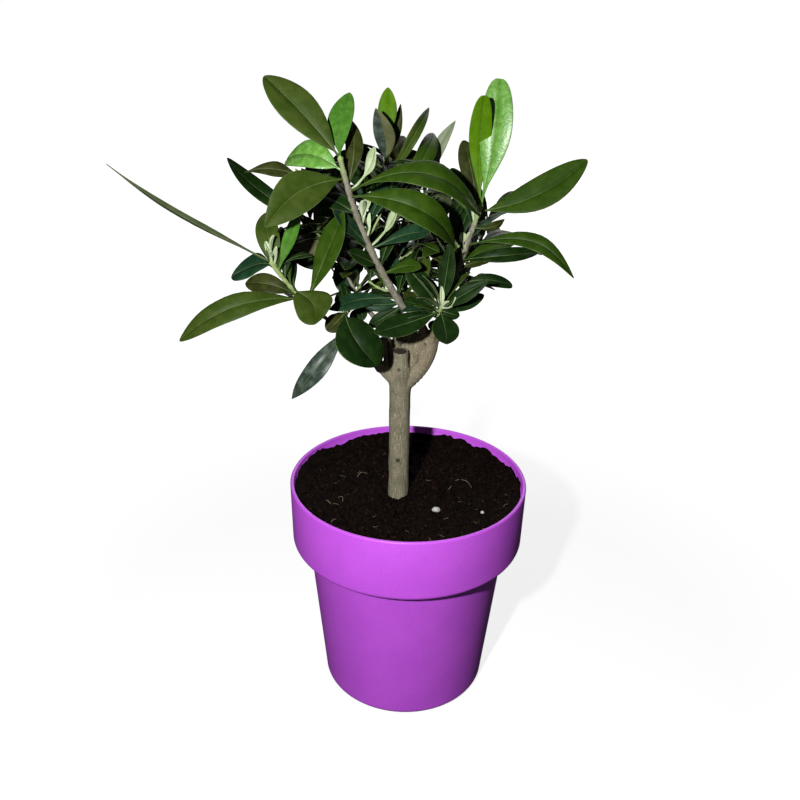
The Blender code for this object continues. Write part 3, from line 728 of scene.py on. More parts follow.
def plain_leaf(leaf: Leaf, stem: Limb, grow: float = 0.0, blade_only: bool = False) -> Shape:
    """The plain solid of a leaf, arched along its length and folded a little along its midrib.

    Args:
        leaf: The leaf.
        stem: The limb that it stands on.
        grow: How much wider and thicker than life it is made.
        blade_only: Whether the stalk is left off.

    Returns:
        The shape.
    """
    along, across, upper = leaf_axes(leaf)
    root = stem.point(leaf.at)
    stalk = (STALK_SHARE, STALK_WIDTH / leaf.width)
    sections = [stalk, *BLADE_SHARES] if blade_only else [(0.0, stalk[1]), stalk, *BLADE_SHARES]
    thick = max(LEAF_THICKNESS, THICKNESS_SHARE * leaf.length) / 2 + grow
    points = []
    for share, width_share in sections:
        hump = leaf.arch * leaf.length * 4 * share * (1 - share)
        middle = root + along * (leaf.length * share) + upper * hump
        heading = (along + upper * (leaf.arch * (4 - 8 * share))).normalized()
        face = heading.cross(across)
        half = leaf.width * width_share / 2 + grow
        lift = face * (FOLD_SHARE * half)
        points += [middle + across * half + lift, middle + face * thick,
                   middle - across * half + lift, middle - face * thick]
    points.append(root + along * (leaf.length + grow))
    faces = [(0, 1, 2, 3), *band(len(sections), 4), *fan(len(points) - 5, 4, len(points) - 1)]
    return points, faces


def grown_leaf(shoot: Shoot, stem: Limb, at: float, side: float, dice: random.Random) -> Leaf:
    """A leaf that leaves its shoot sideways at an angle that closes towards the tip.

    Args:
        shoot: The shoot that it belongs to.
        stem: That shoot's stem.
        at: The share of the stem where it stands.
        side: The angle round the stem, in radians.
        dice: Where its chances come from.

    Returns:
        The leaf.
    """
    heading = stem.direction(at)
    first, second = ring_frame(heading)
    opening = OPEN_AT_FOOT + (OPEN_AT_TIP - OPEN_AT_FOOT) * at
    open_angle = math.radians(opening + dice.uniform(-OPEN_SPREAD, OPEN_SPREAD))
    round_angle = side + math.radians(dice.uniform(-ROUND_SPREAD, ROUND_SPREAD))
    outward = first * math.cos(round_angle) + second * math.sin(round_angle)
    along = heading * math.cos(open_angle) + outward * math.sin(open_angle)
    along.z += dice.uniform(*LIFT_RANGE)
    along.normalize()
    length = shoot.leaf_length * dice.uniform(*LENGTH_RANGE)
    width = length * dice.uniform(*WIDTH_RANGE)
    return Leaf(at, math.degrees(math.atan2(along.y, along.x)), math.degrees(math.asin(along.z)),
                length, width, dice.uniform(*ARCH_RANGE), dice.uniform(-TURN_SPREAD, TURN_SPREAD))


def inside_space(leaf: Leaf, shoot: Shoot, stem: Limb) -> bool:
    """Whether a leaf points the shoot's way and its tip stays in the space of its mass."""
    low, high = shoot.facing
    if not low <= leaf.bearing % 360 <= high:
        return False
    return in_reach(stem.point(leaf.at) + leaf_axes(leaf)[0] * leaf.length, shoot)


def in_reach(place: Vector, shoot: Shoot) -> bool:
    """Whether a point lies in the space of a mass."""
    away = place - Vector(shoot.centre)
    return sum((away[axis] / shoot.reach[axis]) ** 2 for axis in range(3)) <= 1


def tree_of(shape: Shape) -> BVHTree:
    """A tree of faces for finding which shapes touch."""
    points, faces = shape
    return BVHTree.FromPolygons(points, faces)


class Crown:
    """The leaves placed so far, and what a new one has to keep clear of."""

    def __init__(self, stems: dict[str, Limb], boughs: dict[str, Limb]) -> None:
        """Start with the limbs alone."""
        self.stems = stems
        self.drawn = {name: replace(stem, bow=stem.bow + Vector(SHOOTS[name].lean))
                      for name, stem in stems.items()}
        self.solid = {name: [tree_of(tube(stem))] for name, stem in stems.items()}
        self.solid["limbs"] = [tree_of(tube(limb)) for limb in (*boughs.values(), *ARMS.values(), STUB)]
        self.blades: dict[str, list[BVHTree]] = {name: [] for name in stems}
        self.kept: dict[str, list[tuple[Leaf, Limb]]] = {name: [] for name in stems}
        self.sprigs: dict[str, list[Limb]] = {name: [] for name in stems}

    def is_free(self, name: str, leaf: Leaf, stem: Limb, own_blades: bool) -> bool:
        """Whether a leaf clears the limbs and other masses and, where asked, its own mass's blades.

        Args:
            name: The mass that it belongs to.
            leaf: The leaf.
            stem: The stem or sprig that it stands on.
            own_blades: Whether its own mass's blades count too.

        Returns:
            True if nothing touches it.
        """
        wide = tree_of(plain_leaf(leaf, stem, grow=CLEARANCE))
        others = [tree for owner, trees in self.solid.items() if owner != name for tree in trees]
        if any(wide.overlap(tree) for tree in others):
            return False
        blade = tree_of(plain_leaf(leaf, stem, blade_only=True))
        return not own_blades or not any(blade.overlap(tree) for tree in self.blades[name])

    def add(self, name: str, leaf: Leaf, stem: Limb) -> None:
        """Keep a leaf."""
        self.solid[name].append(tree_of(plain_leaf(leaf, stem)))
        self.blades[name].append(tree_of(plain_leaf(leaf, stem, blade_only=True)))
        self.kept[name].append((leaf, self.drawn[name] if stem is self.stems[name] else stem))

    def grow_pairs(self, name: str, shoot: Shoot, stem: Limb, pairs: int, first: float,
                   dice: random.Random) -> None:
        """Opposite pairs, each turned a quarter from the one below; a leaf with no room is left out.

        Args:
            name: The mass that they belong to.
            shoot: Its shoot.
            stem: The stem or sprig that they stand on.
            pairs: How many pairs it has.
            first: The share of the stem where the first pair stands.
            dice: Where their chances come from.
        """
        for pair in range(pairs):
            at = first + (LAST_PAIR - first) * pair / (pairs - 1)
            quarter = math.radians(45 + 90 * (pair % 2))
            for side in (quarter, quarter + math.pi):
                for _ in range(TRIES):
                    leaf = grown_leaf(shoot, stem, at, side, dice)
                    if inside_space(leaf, shoot, stem) and self.is_free(name, leaf, stem, True):
                        self.add(name, leaf, stem)
                        break

    def grow_sprigs(self, name: str, shoot: Shoot) -> None:
        """Side twigs too fine for the solids, each with its own pairs of smaller leaves."""
        dice = random.Random(shoot.seed + SPRIG_SEED)
        stem = self.drawn[name]
        finer = replace(shoot, leaf_length=shoot.leaf_length * SPRIG_LEAF)
        for number in range(shoot.sprigs):
            at = SPRIG_RANGE[0] + (SPRIG_RANGE[1] - SPRIG_RANGE[0]) * number / max(1, shoot.sprigs - 1)
            for _ in range(TRIES):
                sprig = grown_sprig(stem, at, dice)
                wood = tree_of(tube(sprig, SPRIG_CLEAR_FROM))
                touches = any(wood.overlap(tree) for tree in self.blades[name])
                if in_reach(sprig.tip, shoot) and not touches:
                    self.sprigs[name].append(sprig)
                    self.grow_pairs(name, finer, sprig, SPRIG_PAIRS, SPRIG_FIRST_PAIR, dice)
                    break


def grown_sprig(stem: Limb, at: float, dice: random.Random) -> Limb:
    """A side twig that leaves its stem at a wide angle and turns up a little.

    Args:
        stem: The stem that it stands on.
        at: The share of the stem where it stands.
        dice: Where its chances come from.

    Returns:
        The twig.
    """
    heading = stem.direction(at)
    first, second = ring_frame(heading)
    around = dice.uniform(0, 2 * math.pi)
    opening = math.radians(dice.uniform(*SPRIG_OPENING))
    outward = first * math.cos(around) + second * math.sin(around)
    along = (heading * math.cos(opening) + outward * math.sin(opening)).normalized()
    length = dice.uniform(*SPRIG_LENGTH)
    foot = stem.point(at)
    bow = Vector((0, 0, -SPRIG_SAG * length))
    return Limb(foot, foot + along * length, *SPRIG_RADII, bow=bow, sides=6)


def place_leaves(stems: dict[str, Limb], boughs: dict[str, Limb]) -> Crown:
    """The crown's leaves: first those that show, then those that fill it, then the finest twigs'.

    Args:
        stems: The stem of each mass.
        boughs: The boughs by name.

    Returns:
        The crown.
    """
    crown = Crown(stems, boughs)
    for name, shoot in SHOOTS.items():
        for leaf in shoot.leaves:
            if crown.is_free(name, leaf, stems[name], False):
                crown.add(name, leaf, stems[name])
    for name, shoot in SHOOTS.items():
        crown.grow_pairs(name, shoot, stems[name], shoot.pairs, shoot.first_pair, random.Random(shoot.seed))
    for name, shoot in SHOOTS.items():
        crown.grow_sprigs(name, shoot)
    return crown


class Net:
    """A node tree that is filled by short calls."""

    def __init__(self, tree: Tree) -> None:
        """Take the tree as it is."""
        self.tree = tree

    @property
    def start(self) -> bpy.types.NodeOutputs:
        """What a group takes in."""
        return self.tree.nodes["Start"].outputs

    def feed(self, node: Node, inputs: dict) -> Node:
        """Give a node its inputs.

        Args:
            node: The node.
            inputs: Values or output sockets by input name or number.

        Returns:
            The node.
        """
        for key, value in inputs.items():
            if isinstance(value, Socket):
                self.tree.links.new(value, node.inputs[key])
            else:
                node.inputs[key].default_value = value
        return node

    def add(self, kind: str, inputs: dict | None = None, **settings: object) -> Node:
        """Add a node.

        Args:
            kind: The node's type.
            inputs: Values or output sockets by input name or number.
            settings: The node's own settings.

        Returns:
            The node.
        """
        node = self.tree.nodes.new(kind)
        for name, value in settings.items():
            setattr(node, name, value)
        return self.feed(node, inputs or {})

    def maths(self, operation: str, first: object, second: object = 0.0) -> Socket:
        """One sum on two numbers or sockets."""
        return self.add("ShaderNodeMath", {0: first, 1: second}, operation=operation).outputs[0]

    def vector(self, operation: str, first: object, second: object = (0, 0, 0)) -> Socket:
        """One sum on two vectors or sockets."""
        return self.add("ShaderNodeVectorMath", {0: first, 1: second}, operation=operation).outputs[0]

    def scaled(self, vector: object, factor: object) -> Socket:
        """A vector times a number."""
        return self.add("ShaderNodeVectorMath", {0: vector, "Scale": factor}, operation="SCALE").outputs[0]

    def length(self, vector: object) -> Socket:
        """The length of a vector."""
        return self.add("ShaderNodeVectorMath", {0: vector}, operation="LENGTH").outputs["Value"]

    def compare(self, first: object, operation: str, second: object) -> Socket:
        """Whether one number stands to another as the operation says."""
        return self.add("FunctionNodeCompare", {0: first, 1: second}, data_type="FLOAT",
                        operation=operation).outputs[0]

    def chance(self, low: object, high: object, seed: int) -> Socket:
        """A number drawn for each point."""
        return self.add("FunctionNodeRandomValue", {2: low, 3: high, 8: seed}, data_type="FLOAT").outputs[1]

    def chances(self, low: Sequence[float], high: Sequence[float], seed: int) -> Socket:
        """A vector drawn for each point."""
        return self.add("FunctionNodeRandomValue", {0: low, 1: high, 8: seed},
                        data_type="FLOAT_VECTOR").outputs[0]

    def blend(self, factor: object, first: object, second: object) -> Socket:
        """A colour between two others."""
        return self.add("ShaderNodeMix", {0: factor, 6: first, 7: second}, data_type="RGBA").outputs[2]

    def ramp(self, factor: object, low: float, high: float, bottom: float = 0.0,
             top: float = 1.0) -> Socket:
        """A number spread from one range to another, smoothly and held at its ends."""
        return self.add("ShaderNodeMapRange", {0: factor, 1: low, 2: high, 3: bottom, 4: top},
                        interpolation_type="SMOOTHSTEP").outputs[0]

    def cloud(self, vector: object, scale: object, detail: float = 3.0) -> Socket:
        """Soft noise of 0 to 1."""
        return self.add("ShaderNodeTexNoise", {"Vector": vector, "Scale": scale, "Detail": detail,
                                               "Roughness": 0.55}).outputs["Fac"]

    def bump(self, height: object) -> Socket:
        """The surface's direction with a relief of that height."""
        return self.add("ShaderNodeBump", {"Height": height, "Strength": 1.0, "Distance": 1.0}).outputs[0]

    def shifted(self, geometry: Node, offset: object) -> Node:
        """A geometry node's points moved by an offset."""
        return self.add("GeometryNodeSetPosition", {"Geometry": geometry.outputs[0], "Offset": offset})

    def dress(self, geometry: Node) -> Tree:
        """End a geometry tree: instances made real, in the finish that the tree is given."""
        done = self.add("GeometryNodeRealizeInstances", {"Geometry": geometry.outputs[0]})
        dressed = self.add("GeometryNodeSetMaterial", {"Geometry": done.outputs[0],
                                                       "Material": self.start["Finish"]})
        self.feed(self.tree.nodes["End"], {0: dressed.outputs[0]})
        return self.tree


def opaque(colour: Colour) -> tuple[float, float, float, float]:
    """A colour with its alpha."""
    return (*colour, 1.0)


# The kind of socket for each type of value
SOCKETS = {float: "Float", int: "Int", tuple: "Color"}


def group_of(name: str, kind: str, inputs: dict[str, object], outputs: dict[str, str]) -> Net:
    """Make a node group with named sockets, and its input and output nodes.

    Args:
        name: The group's name.
        kind: ShaderNodeTree or GeometryNodeTree.
        inputs: Each input's first value, or its kind of socket where it starts empty.
        outputs: Each output's kind of socket.

    Returns:
        The group's net.
    """
    tree = bpy.data.node_groups.new(name, kind)
    for label, value in inputs.items():
        socket = value if isinstance(value, str) else SOCKETS[type(value)]
        made = tree.interface.new_socket(name=label, in_out="INPUT", socket_type="NodeSocket" + socket)
        if not isinstance(value, str):
            made.default_value = value
    for label, socket in outputs.items():
        tree.interface.new_socket(name=label, in_out="OUTPUT", socket_type="NodeSocket" + socket)
    tree.nodes.new("NodeGroupInput").name = "Start"
    tree.nodes.new("NodeGroupOutput").name = "End"
    return Net(tree)


def geometry_net(name: str, inputs: dict[str, object]) -> Net:
    """A Geometry Nodes group that makes a mesh from its inputs and a finish."""
    return group_of(name, "GeometryNodeTree", {**inputs, "Finish": "Material"}, {"Mesh": "Geometry"})


# Soft patches and grain: where the noise turns from one to the other, how much each roughens, and the
# shades of the grain
PATCH_EDGES = (0.36, 0.66)
ROUGH_BY_PATCH = 0.6
ROUGH_BY_GRAIN = 0.4
GRAIN_EDGES = (0.2, 0.8)
GRAIN_SHADES = (0.90, 1.08)


def mottle_group() -> Tree:
    """The shader group for soft patches in two colours with fine grain, used by every soft finish.

    Returns:
        A group that puts out Colour, Rough and Normal.
    """
    grey = (0.5, 0.5, 0.5, 1.0)
    net = group_of("soft_mottle", "ShaderNodeTree", {
        "Colour": grey, "Patch": grey, "Patch scale": 200.0, "Grain scale": 1500.0, "Rough low": 0.3,
        "Rough high": 0.5, "Grain height": 0.00005,
    }, {"Colour": "Color", "Rough": "Float", "Normal": "Vector"})
    start = net.start
    place = net.add("ShaderNodeTexCoord").outputs["Object"]
    patch = net.ramp(net.cloud(place, start["Patch scale"]), *PATCH_EDGES)
    grain = net.cloud(place, start["Grain scale"], 2.0)
    colour = net.blend(patch, start["Colour"], start["Patch"])
    mixed = net.maths("ADD", net.maths("MULTIPLY", patch, ROUGH_BY_PATCH),
                      net.maths("MULTIPLY", grain, ROUGH_BY_GRAIN))
    rough = net.add("ShaderNodeMapRange", {0: mixed, 3: start["Rough low"], 4: start["Rough high"]})
    net.feed(net.tree.nodes["End"], {
        "Colour": net.scaled(colour, net.ramp(grain, *GRAIN_EDGES, *GRAIN_SHADES)),
        "Rough": rough.outputs[0],
        "Normal": net.bump(net.maths("MULTIPLY", grain, start["Grain height"])),
    })
    return net.tree


def new_finish(name: str) -> tuple[Material, Net, Node]:
    """A new material with its net and its main shader."""
    made = bpy.data.materials.new(name)
    made.use_nodes = True
    net = Net(made.node_tree)
    return made, net, made.node_tree.nodes["Principled BSDF"]


@dataclass(frozen=True)
class SoftFinish:
    """A finish of soft patches and fine grain."""

    name: str
    colour: Colour
    patch: Colour
    rough: Pair = (0.35, 0.5)
    patch_scale: float = 190.0
    grain_scale: float = 1300.0
    grain_height: float = 0.00004
    specular: float = 0.5

    def make(self, mottle: Tree) -> Material:
        """Make the material.

        Args:
            mottle: The shader group for patches and grain.

        Returns:
            The material.
        """
        made, net, shader = new_finish(self.name)
        group = net.add("ShaderNodeGroup", {
            "Colour": opaque(self.colour), "Patch": opaque(self.patch), "Patch scale": self.patch_scale,
            "Grain scale": self.grain_scale, "Rough low": self.rough[0], "Rough high": self.rough[1],
            "Grain height": self.grain_height,
        }, node_tree=mottle)
        net.feed(shader, {
            "Base Color": group.outputs["Colour"], "Roughness": group.outputs["Rough"],
            "Normal": group.outputs["Normal"], "Specular IOR Level": self.specular,
        })
        return made


def leaf_finish(part: str, colour: Colour, patch: Colour, rough: Pair,
                specular: float = 0.10, **others: float) -> SoftFinish:
    """The finish of a leaf's part, from colours of 0 to 255 as seen on a screen."""
    return SoftFinish("leaf_" + part, srgb(*colour), srgb(*patch), rough, specular=specular, **others)


# The upper faces by look, then the parts that most looks share
UPPER_FINISHES = {
    Look.OLIVE: leaf_finish("olive", (46, 64, 15), (58, 72, 24), (0.46, 0.60), patch_scale=200.0),
    Look.MOSS: leaf_finish("moss", (38, 62, 8), (48, 71, 13), (0.42, 0.56), 0.12),
    Look.DEEP: leaf_finish("deep", (16, 36, 8), (25, 46, 13), (0.42, 0.56)),
    Look.BLUE: leaf_finish("blue", (20, 46, 26), (32, 60, 40), (0.42, 0.56), 0.12),
    Look.LIME: leaf_finish("lime", (82, 132, 44), (104, 152, 68), (0.32, 0.44), 0.55, patch_scale=420.0,
                           grain_scale=700.0, grain_height=0.00018),
    Look.LEAF: leaf_finish("green", (58, 104, 26), (72, 118, 40), (0.36, 0.50), 0.25, patch_scale=420.0),
    Look.FRESH: leaf_finish("fresh", (68, 106, 4), (78, 116, 10), (0.42, 0.56)),
    Look.KHAKI: leaf_finish("khaki", (82, 84, 54), (96, 98, 68), (0.55, 0.70)),
    Look.FAWN: leaf_finish("fawn", (104, 94, 78), (120, 110, 96), (0.60, 0.74)),
    Look.PALE: leaf_finish("pale", (120, 134, 102), (136, 148, 120), (0.58, 0.72)),
    Look.SAGE: leaf_finish("sage", (78, 92, 58), (94, 106, 72), (0.58, 0.72)),
    # Lighter grey patches: partly waxy bloom, partly painted sheen
    Look.GREY: leaf_finish("grey", (40, 54, 44), (76, 86, 76), (0.36, 0.50), 0.35, patch_scale=260.0),
    Look.DUSK: leaf_finish("dusk", (38, 44, 14), (52, 58, 22), (0.44, 0.58)),
    Look.YOUNG: leaf_finish("young", (156, 172, 128), (174, 188, 152), (0.58, 0.72), 0.2),
}
UNDER_FINISH = leaf_finish("underside", (80, 92, 58), (96, 106, 74), (0.60, 0.74), 0.2)
UNDER_YOUNG = leaf_finish("young_underside", (168, 184, 146), (182, 194, 160), (0.62, 0.76), 0.2)
RIB_FINISH = leaf_finish("midrib", (68, 88, 44), (88, 104, 62), (0.45, 0.60), 0.2)
# Paler leaf margins: partly the leaf's own paler rim, partly painted rim highlight
MARGIN_AND_RIM_HIGHLIGHT_FINISH = leaf_finish("edge", (70, 90, 44), (98, 114, 72), (0.45, 0.60), 0.2)
LEAF_SLOTS = [*(look.value for look in UPPER_FINISHES), "underside", "young_underside", "midrib", "edge"]


def new_object(name: str, data: bpy.types.ID) -> Item:
    """A new object in the scene, at the origin."""
    item = bpy.data.objects.new(name, data)
    bpy.context.scene.collection.objects.link(item)
    return item


def add_piece(name: str, shape: Shape, finishes: Iterable[Material],
              slots: Sequence[int] | None = None) -> Item:
    """Make a smooth piece from a shape, with its faces pointing out.

    Args:
        name: The piece's name.
        shape: Its points and faces.
        finishes: Its materials, in the order of their slots.
        slots: The slot of each face, or none where all take the first.

    Returns:
        The object, at the origin.
    """
    points, faces = shape
    mesh = bpy.data.meshes.new(name)
    mesh.from_pydata([tuple(point) for point in points], [], faces)
    for finish in finishes:
        mesh.materials.append(finish)
    if slots is not None:
        mesh.polygons.foreach_set("material_index", np.asarray(slots, dtype=np.int32))
    face_outwards(mesh)
    mesh.polygons.foreach_set("use_smooth", np.full(len(mesh.polygons), True))
    mesh.update()
    return new_object(name, mesh)


def face_outwards(mesh: bpy.types.Mesh) -> None:
    """Turn every face of a mesh of closed shells outwards."""
    turned = bmesh.new()
    turned.from_mesh(mesh)
    bmesh.ops.recalc_face_normals(turned, faces=turned.faces)
    turned.to_mesh(mesh)
    turned.free()


def seat(piece: Item, nodes: Sequence[str] = ()) -> None:
    """Let a piece ride on the plant and what it stands for.

    Args:
        piece: The piece.
        nodes: The solids that it replaces.
    """
    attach(piece, "root")
    if nodes:
        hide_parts(*nodes)
    LOG.info("%s: %d faces", piece.name, len(piece.data.polygons))


def keep_evaluated(item: Item) -> None:
    """Make what an object's modifiers show its plain mesh, and remove them."""
    bpy.context.view_layer.update()
    graph = bpy.context.evaluated_depsgraph_get()
    made = bpy.data.meshes.new_from_object(item.evaluated_get(graph))
    item.modifiers.clear()
    old = item.data
    item.data = made
    made.name = item.name
    bpy.data.meshes.remove(old)


def run_nodes(item: Item, tree: Tree, values: dict[str, object]) -> None:
    """Run a Geometry Nodes tree on an object and keep the result as its plain mesh.

    Args:
        item: The object.
        tree: The tree.
        values: Values of the tree's named inputs.
    """
    modifier = item.modifiers.new(tree.name, "NODES")
    modifier.node_group = tree
    for entry in tree.interface.items_tree:
        if entry.item_type == "SOCKET" and entry.in_out == "INPUT" and entry.name in values:
            modifier[entry.identifier] = values[entry.name]
    keep_evaluated(item)


@dataclass
class Blade:
    """The fine mesh of one leaf: closed, with a grooved midrib, rolled edges and a round stalk."""

    leaf: Leaf
    stem: Limb
    dice: random.Random
    stations: int = 16
    thickness: float = 0.00040
    stalk_half: float = 0.00055
    rib_half: float = 0.00016
    groove: float = 0.00014
    ridge: float = 0.00026
    upper_columns: tuple[float, ...] = (0.965, 0.70, 0.38)
    under_columns: tuple[float, ...] = (0.93, 0.50)
    rim_from: float = 0.9
    rim: float = 0.45
    narrowest: float = 0.3
    rib_at_foot: float = 1.5
    rib_loss: float = 1.4
    rib_lift: float = 0.9
    stalk_fades: float = 2.2
    bunching: float = 1.6
    last_section: float = 0.996
    point_out: float = 0.3
    folds: Pair = (0.06, 0.20)
    rolls: Pair = (0.03, 0.07)
    bulges: Pair = (0.0, 0.03)
    wave_heights: Pair = (0.01, 0.05)
    wave_counts: Pair = (1.5, 3.0)
    far_side: float = 1.9
    sways: Pair = (-0.03, 0.03)
    twists: Pair = (-7, 7)
    young_fold: float = 0.75
    young_thickness: float = 0.0006

    def __post_init__(self) -> None:
        """Take the leaf as it is drawn and draw lots for its own small differences."""
        leaf = self.leaf
        draw = self.dice.uniform
        young = leaf.look is Look.YOUNG
        self.root = self.stem.point(leaf.at + leaf.shift)
        self.stalk_share = leaf.form.stalk
        self.fold = self.young_fold if young else draw(*self.folds)
        self.roll = draw(*self.rolls)
        self.bulge = draw(*self.bulges)
        self.wave = 0.0 if young else draw(*self.wave_heights)
        self.wave_phase = draw(0, 2 * math.pi)
        self.waves = draw(*self.wave_counts)
        self.sway = draw(*self.sways)
        self.twist = math.radians(draw(*self.twists))
        if leaf.fold is not None:
            self.fold = leaf.fold
        if leaf.sway is not None:
            self.sway = leaf.sway
        if young:
            self.thickness = self.young_thickness
        self.leaf = leaf.drawn()

    def shares(self) -> list[float]:
        """The shares of the leaf's length where it has a section: stalk, blade, rounded tip."""
        blade = [1 - (1 - step / self.stations) ** self.bunching for step in range(1, self.stations)]
        return [0.0, self.stalk_share * 0.6, self.stalk_share,
                *(self.stalk_share + (1 - self.stalk_share) * share for share in blade), self.last_section]

    def half_width(self, share: float) -> float:
        """Half the leaf's width at a share of its length."""
        stalk = min(self.stalk_half, self.narrowest * self.leaf.width)
        if share <= self.stalk_share:
            return stalk
        blade = (share - self.stalk_share) / (1 - self.stalk_share)
        body = self.leaf.width / 2 * self.leaf.form.width(blade)
        return max(body, stalk * (1 - blade) ** 2)

    def section(self, share: float) -> list[Vector]:
        """The ring of points round the leaf at a share of its length.

        Args:
            share: The share of the leaf's length.

        Returns:
            The points: the upper face, an edge, the under face and the other edge.
        """
        leaf = self.leaf
        along, across, upper = leaf_axes(leaf)
        turned = across * math.cos(self.twist * share) + upper * math.sin(self.twist * share)
        curl = max(0.0, share - HOOK_FROM) / (1 - HOOK_FROM)
        hump = leaf.length * (leaf.arch * 4 * share * (1 - share) - leaf.hook * curl * curl)
        slope = leaf.arch * (4 - 8 * share) - leaf.hook * 2 * curl / (1 - HOOK_FROM)
        bend = self.sway * leaf.length * math.sin(math.pi * share)
        middle = self.root + along * (leaf.length * share) + upper * hump + turned * bend
        face = (along + upper * slope).normalized().cross(turned).normalized()
        half = self.half_width(share)
        rib = min(self.rib_half * (self.rib_at_foot - self.rib_loss * share), self.narrowest * half)
        on_stalk = max(0.0, 1 - share / (self.stalk_fades * self.stalk_share))
        thick = (self.thickness + (2 * self.stalk_half - self.thickness) * on_stalk) / 2
        flat = 1 - on_stalk

        def at(column: float, lift: float) -> Vector:
            """A point by its place across the leaf and its height over the middle sheet."""
            reach = abs(column)
            shape = self.fold * reach - self.roll * reach ** 4 + self.bulge * math.sin(math.pi * reach)
            phase = self.wave_phase + (column > 0) * self.far_side
            ripple = math.sin(2 * math.pi * self.waves * share + phase)
            shape += self.wave * reach * reach * ripple
            return middle + turned * (column * half) + face * (shape * half * flat + lift)

        def row(columns: Iterable[float], side: int) -> list[Vector]:
            """Points on one face, less thick along the edges."""
            return [at(column, side * thick * (1.0 if abs(column) < self.rim_from else self.rim))
                    for column in columns]

        beside = thick * self.rib_lift
        top = [*row(self.upper_columns, 1), at(rib / half, beside), at(0, thick - self.groove * flat),
               at(-rib / half, beside), *row([-column for column in reversed(self.upper_columns)], 1)]
        keel = at(0, -thick - self.ridge * flat * (1 - share))
        under = [*row([-column for column in self.under_columns], -1), at(-rib / half, -thick), keel,
                 at(rib / half, -thick), *row(reversed(self.under_columns), -1)]
        return [*top, at(-1, 0), *under, at(1, 0)]

    def strip_slots(self) -> list[int]:
        """The material slot of each strip of faces round a section."""
        look = self.leaf.look
        young = look is Look.YOUNG
        upper = LEAF_SLOTS.index(look.value)
        other = LEAF_SLOTS.index((self.leaf.other or look).value)
        rib = upper if young else LEAF_SLOTS.index("midrib")
        under = LEAF_SLOTS.index("young_underside" if young else "underside")
        # The margin strips take the edge finish, partly painted rim highlight
        edge = upper if young else LEAF_SLOTS.index("edge")
        sides = len(self.upper_columns)
        return [*[other] * sides, rib, rib, *[upper] * sides, edge,
                edge, *[under] * (2 * len(self.under_columns) + 2), edge, edge]

    def build(self) -> tuple[list[Vector], Faces, list[int]]:
        """The leaf's points, faces and the slot of each face."""
        rings = [self.section(share) for share in self.shares()]
        size = len(rings[0])
        strips = self.strip_slots()
        points = [point for ring in rings for point in ring]
        tip = sum(rings[-1], Vector((0, 0, 0))) / size
        points.append(tip + (tip - sum(rings[-2], Vector((0, 0, 0))) / size) * self.point_out)
        last = (len(rings) - 1) * size
        faces = [tuple(range(size)), *band(len(rings), size), *fan(last, size, len(points) - 1)]
        return points, faces, [strips[0], *strips * len(rings)]


@dataclass(frozen=True)
class Viewpoint:
    """Where the photograph was taken from, and where a place shows in it."""

    eye: Place = (-0.0042, -0.4350, 0.3760)
    pitch: float = 24.8
    yaw: float = -0.17
    roll: float = 1.22
    lens: float = 40.5
    sensor: float = 36.0
    picture: float = 800.0

    def axes(self) -> tuple[Vector, Vector, Vector]:
        """The directions that are right, up and forward in the picture."""
        pitch = math.radians(self.pitch)
        yaw = math.radians(self.yaw)
        roll = math.radians(self.roll)
        level = math.cos(pitch)
        forward = Vector((math.sin(yaw) * level, math.cos(yaw) * level, -math.sin(pitch)))
        right = Vector((math.cos(yaw), -math.sin(yaw), 0))
        up = right.cross(forward)
        return (right * math.cos(roll) + up * math.sin(roll), up * math.cos(roll) - right * math.sin(roll),
                forward)

    def pixel(self, place: Vector) -> Pair:
        """Where a place shows in the picture, from its left and its top."""
        right, up, forward = self.axes()
        away = place - Vector(self.eye)
        scale = self.lens / self.sensor * self.picture / away.dot(forward)
        return self.picture / 2 + away.dot(right) * scale, self.picture / 2 - away.dot(up) * scale

    def in_open_sky(self, places: Iterable[Vector]) -> bool:
        """Whether any of some places would stand in a window of open sky."""
        spots = [self.pixel(place) for place in places]
        return any(window.holds(*spot) for spot in spots for window in OPEN_SKY.values())


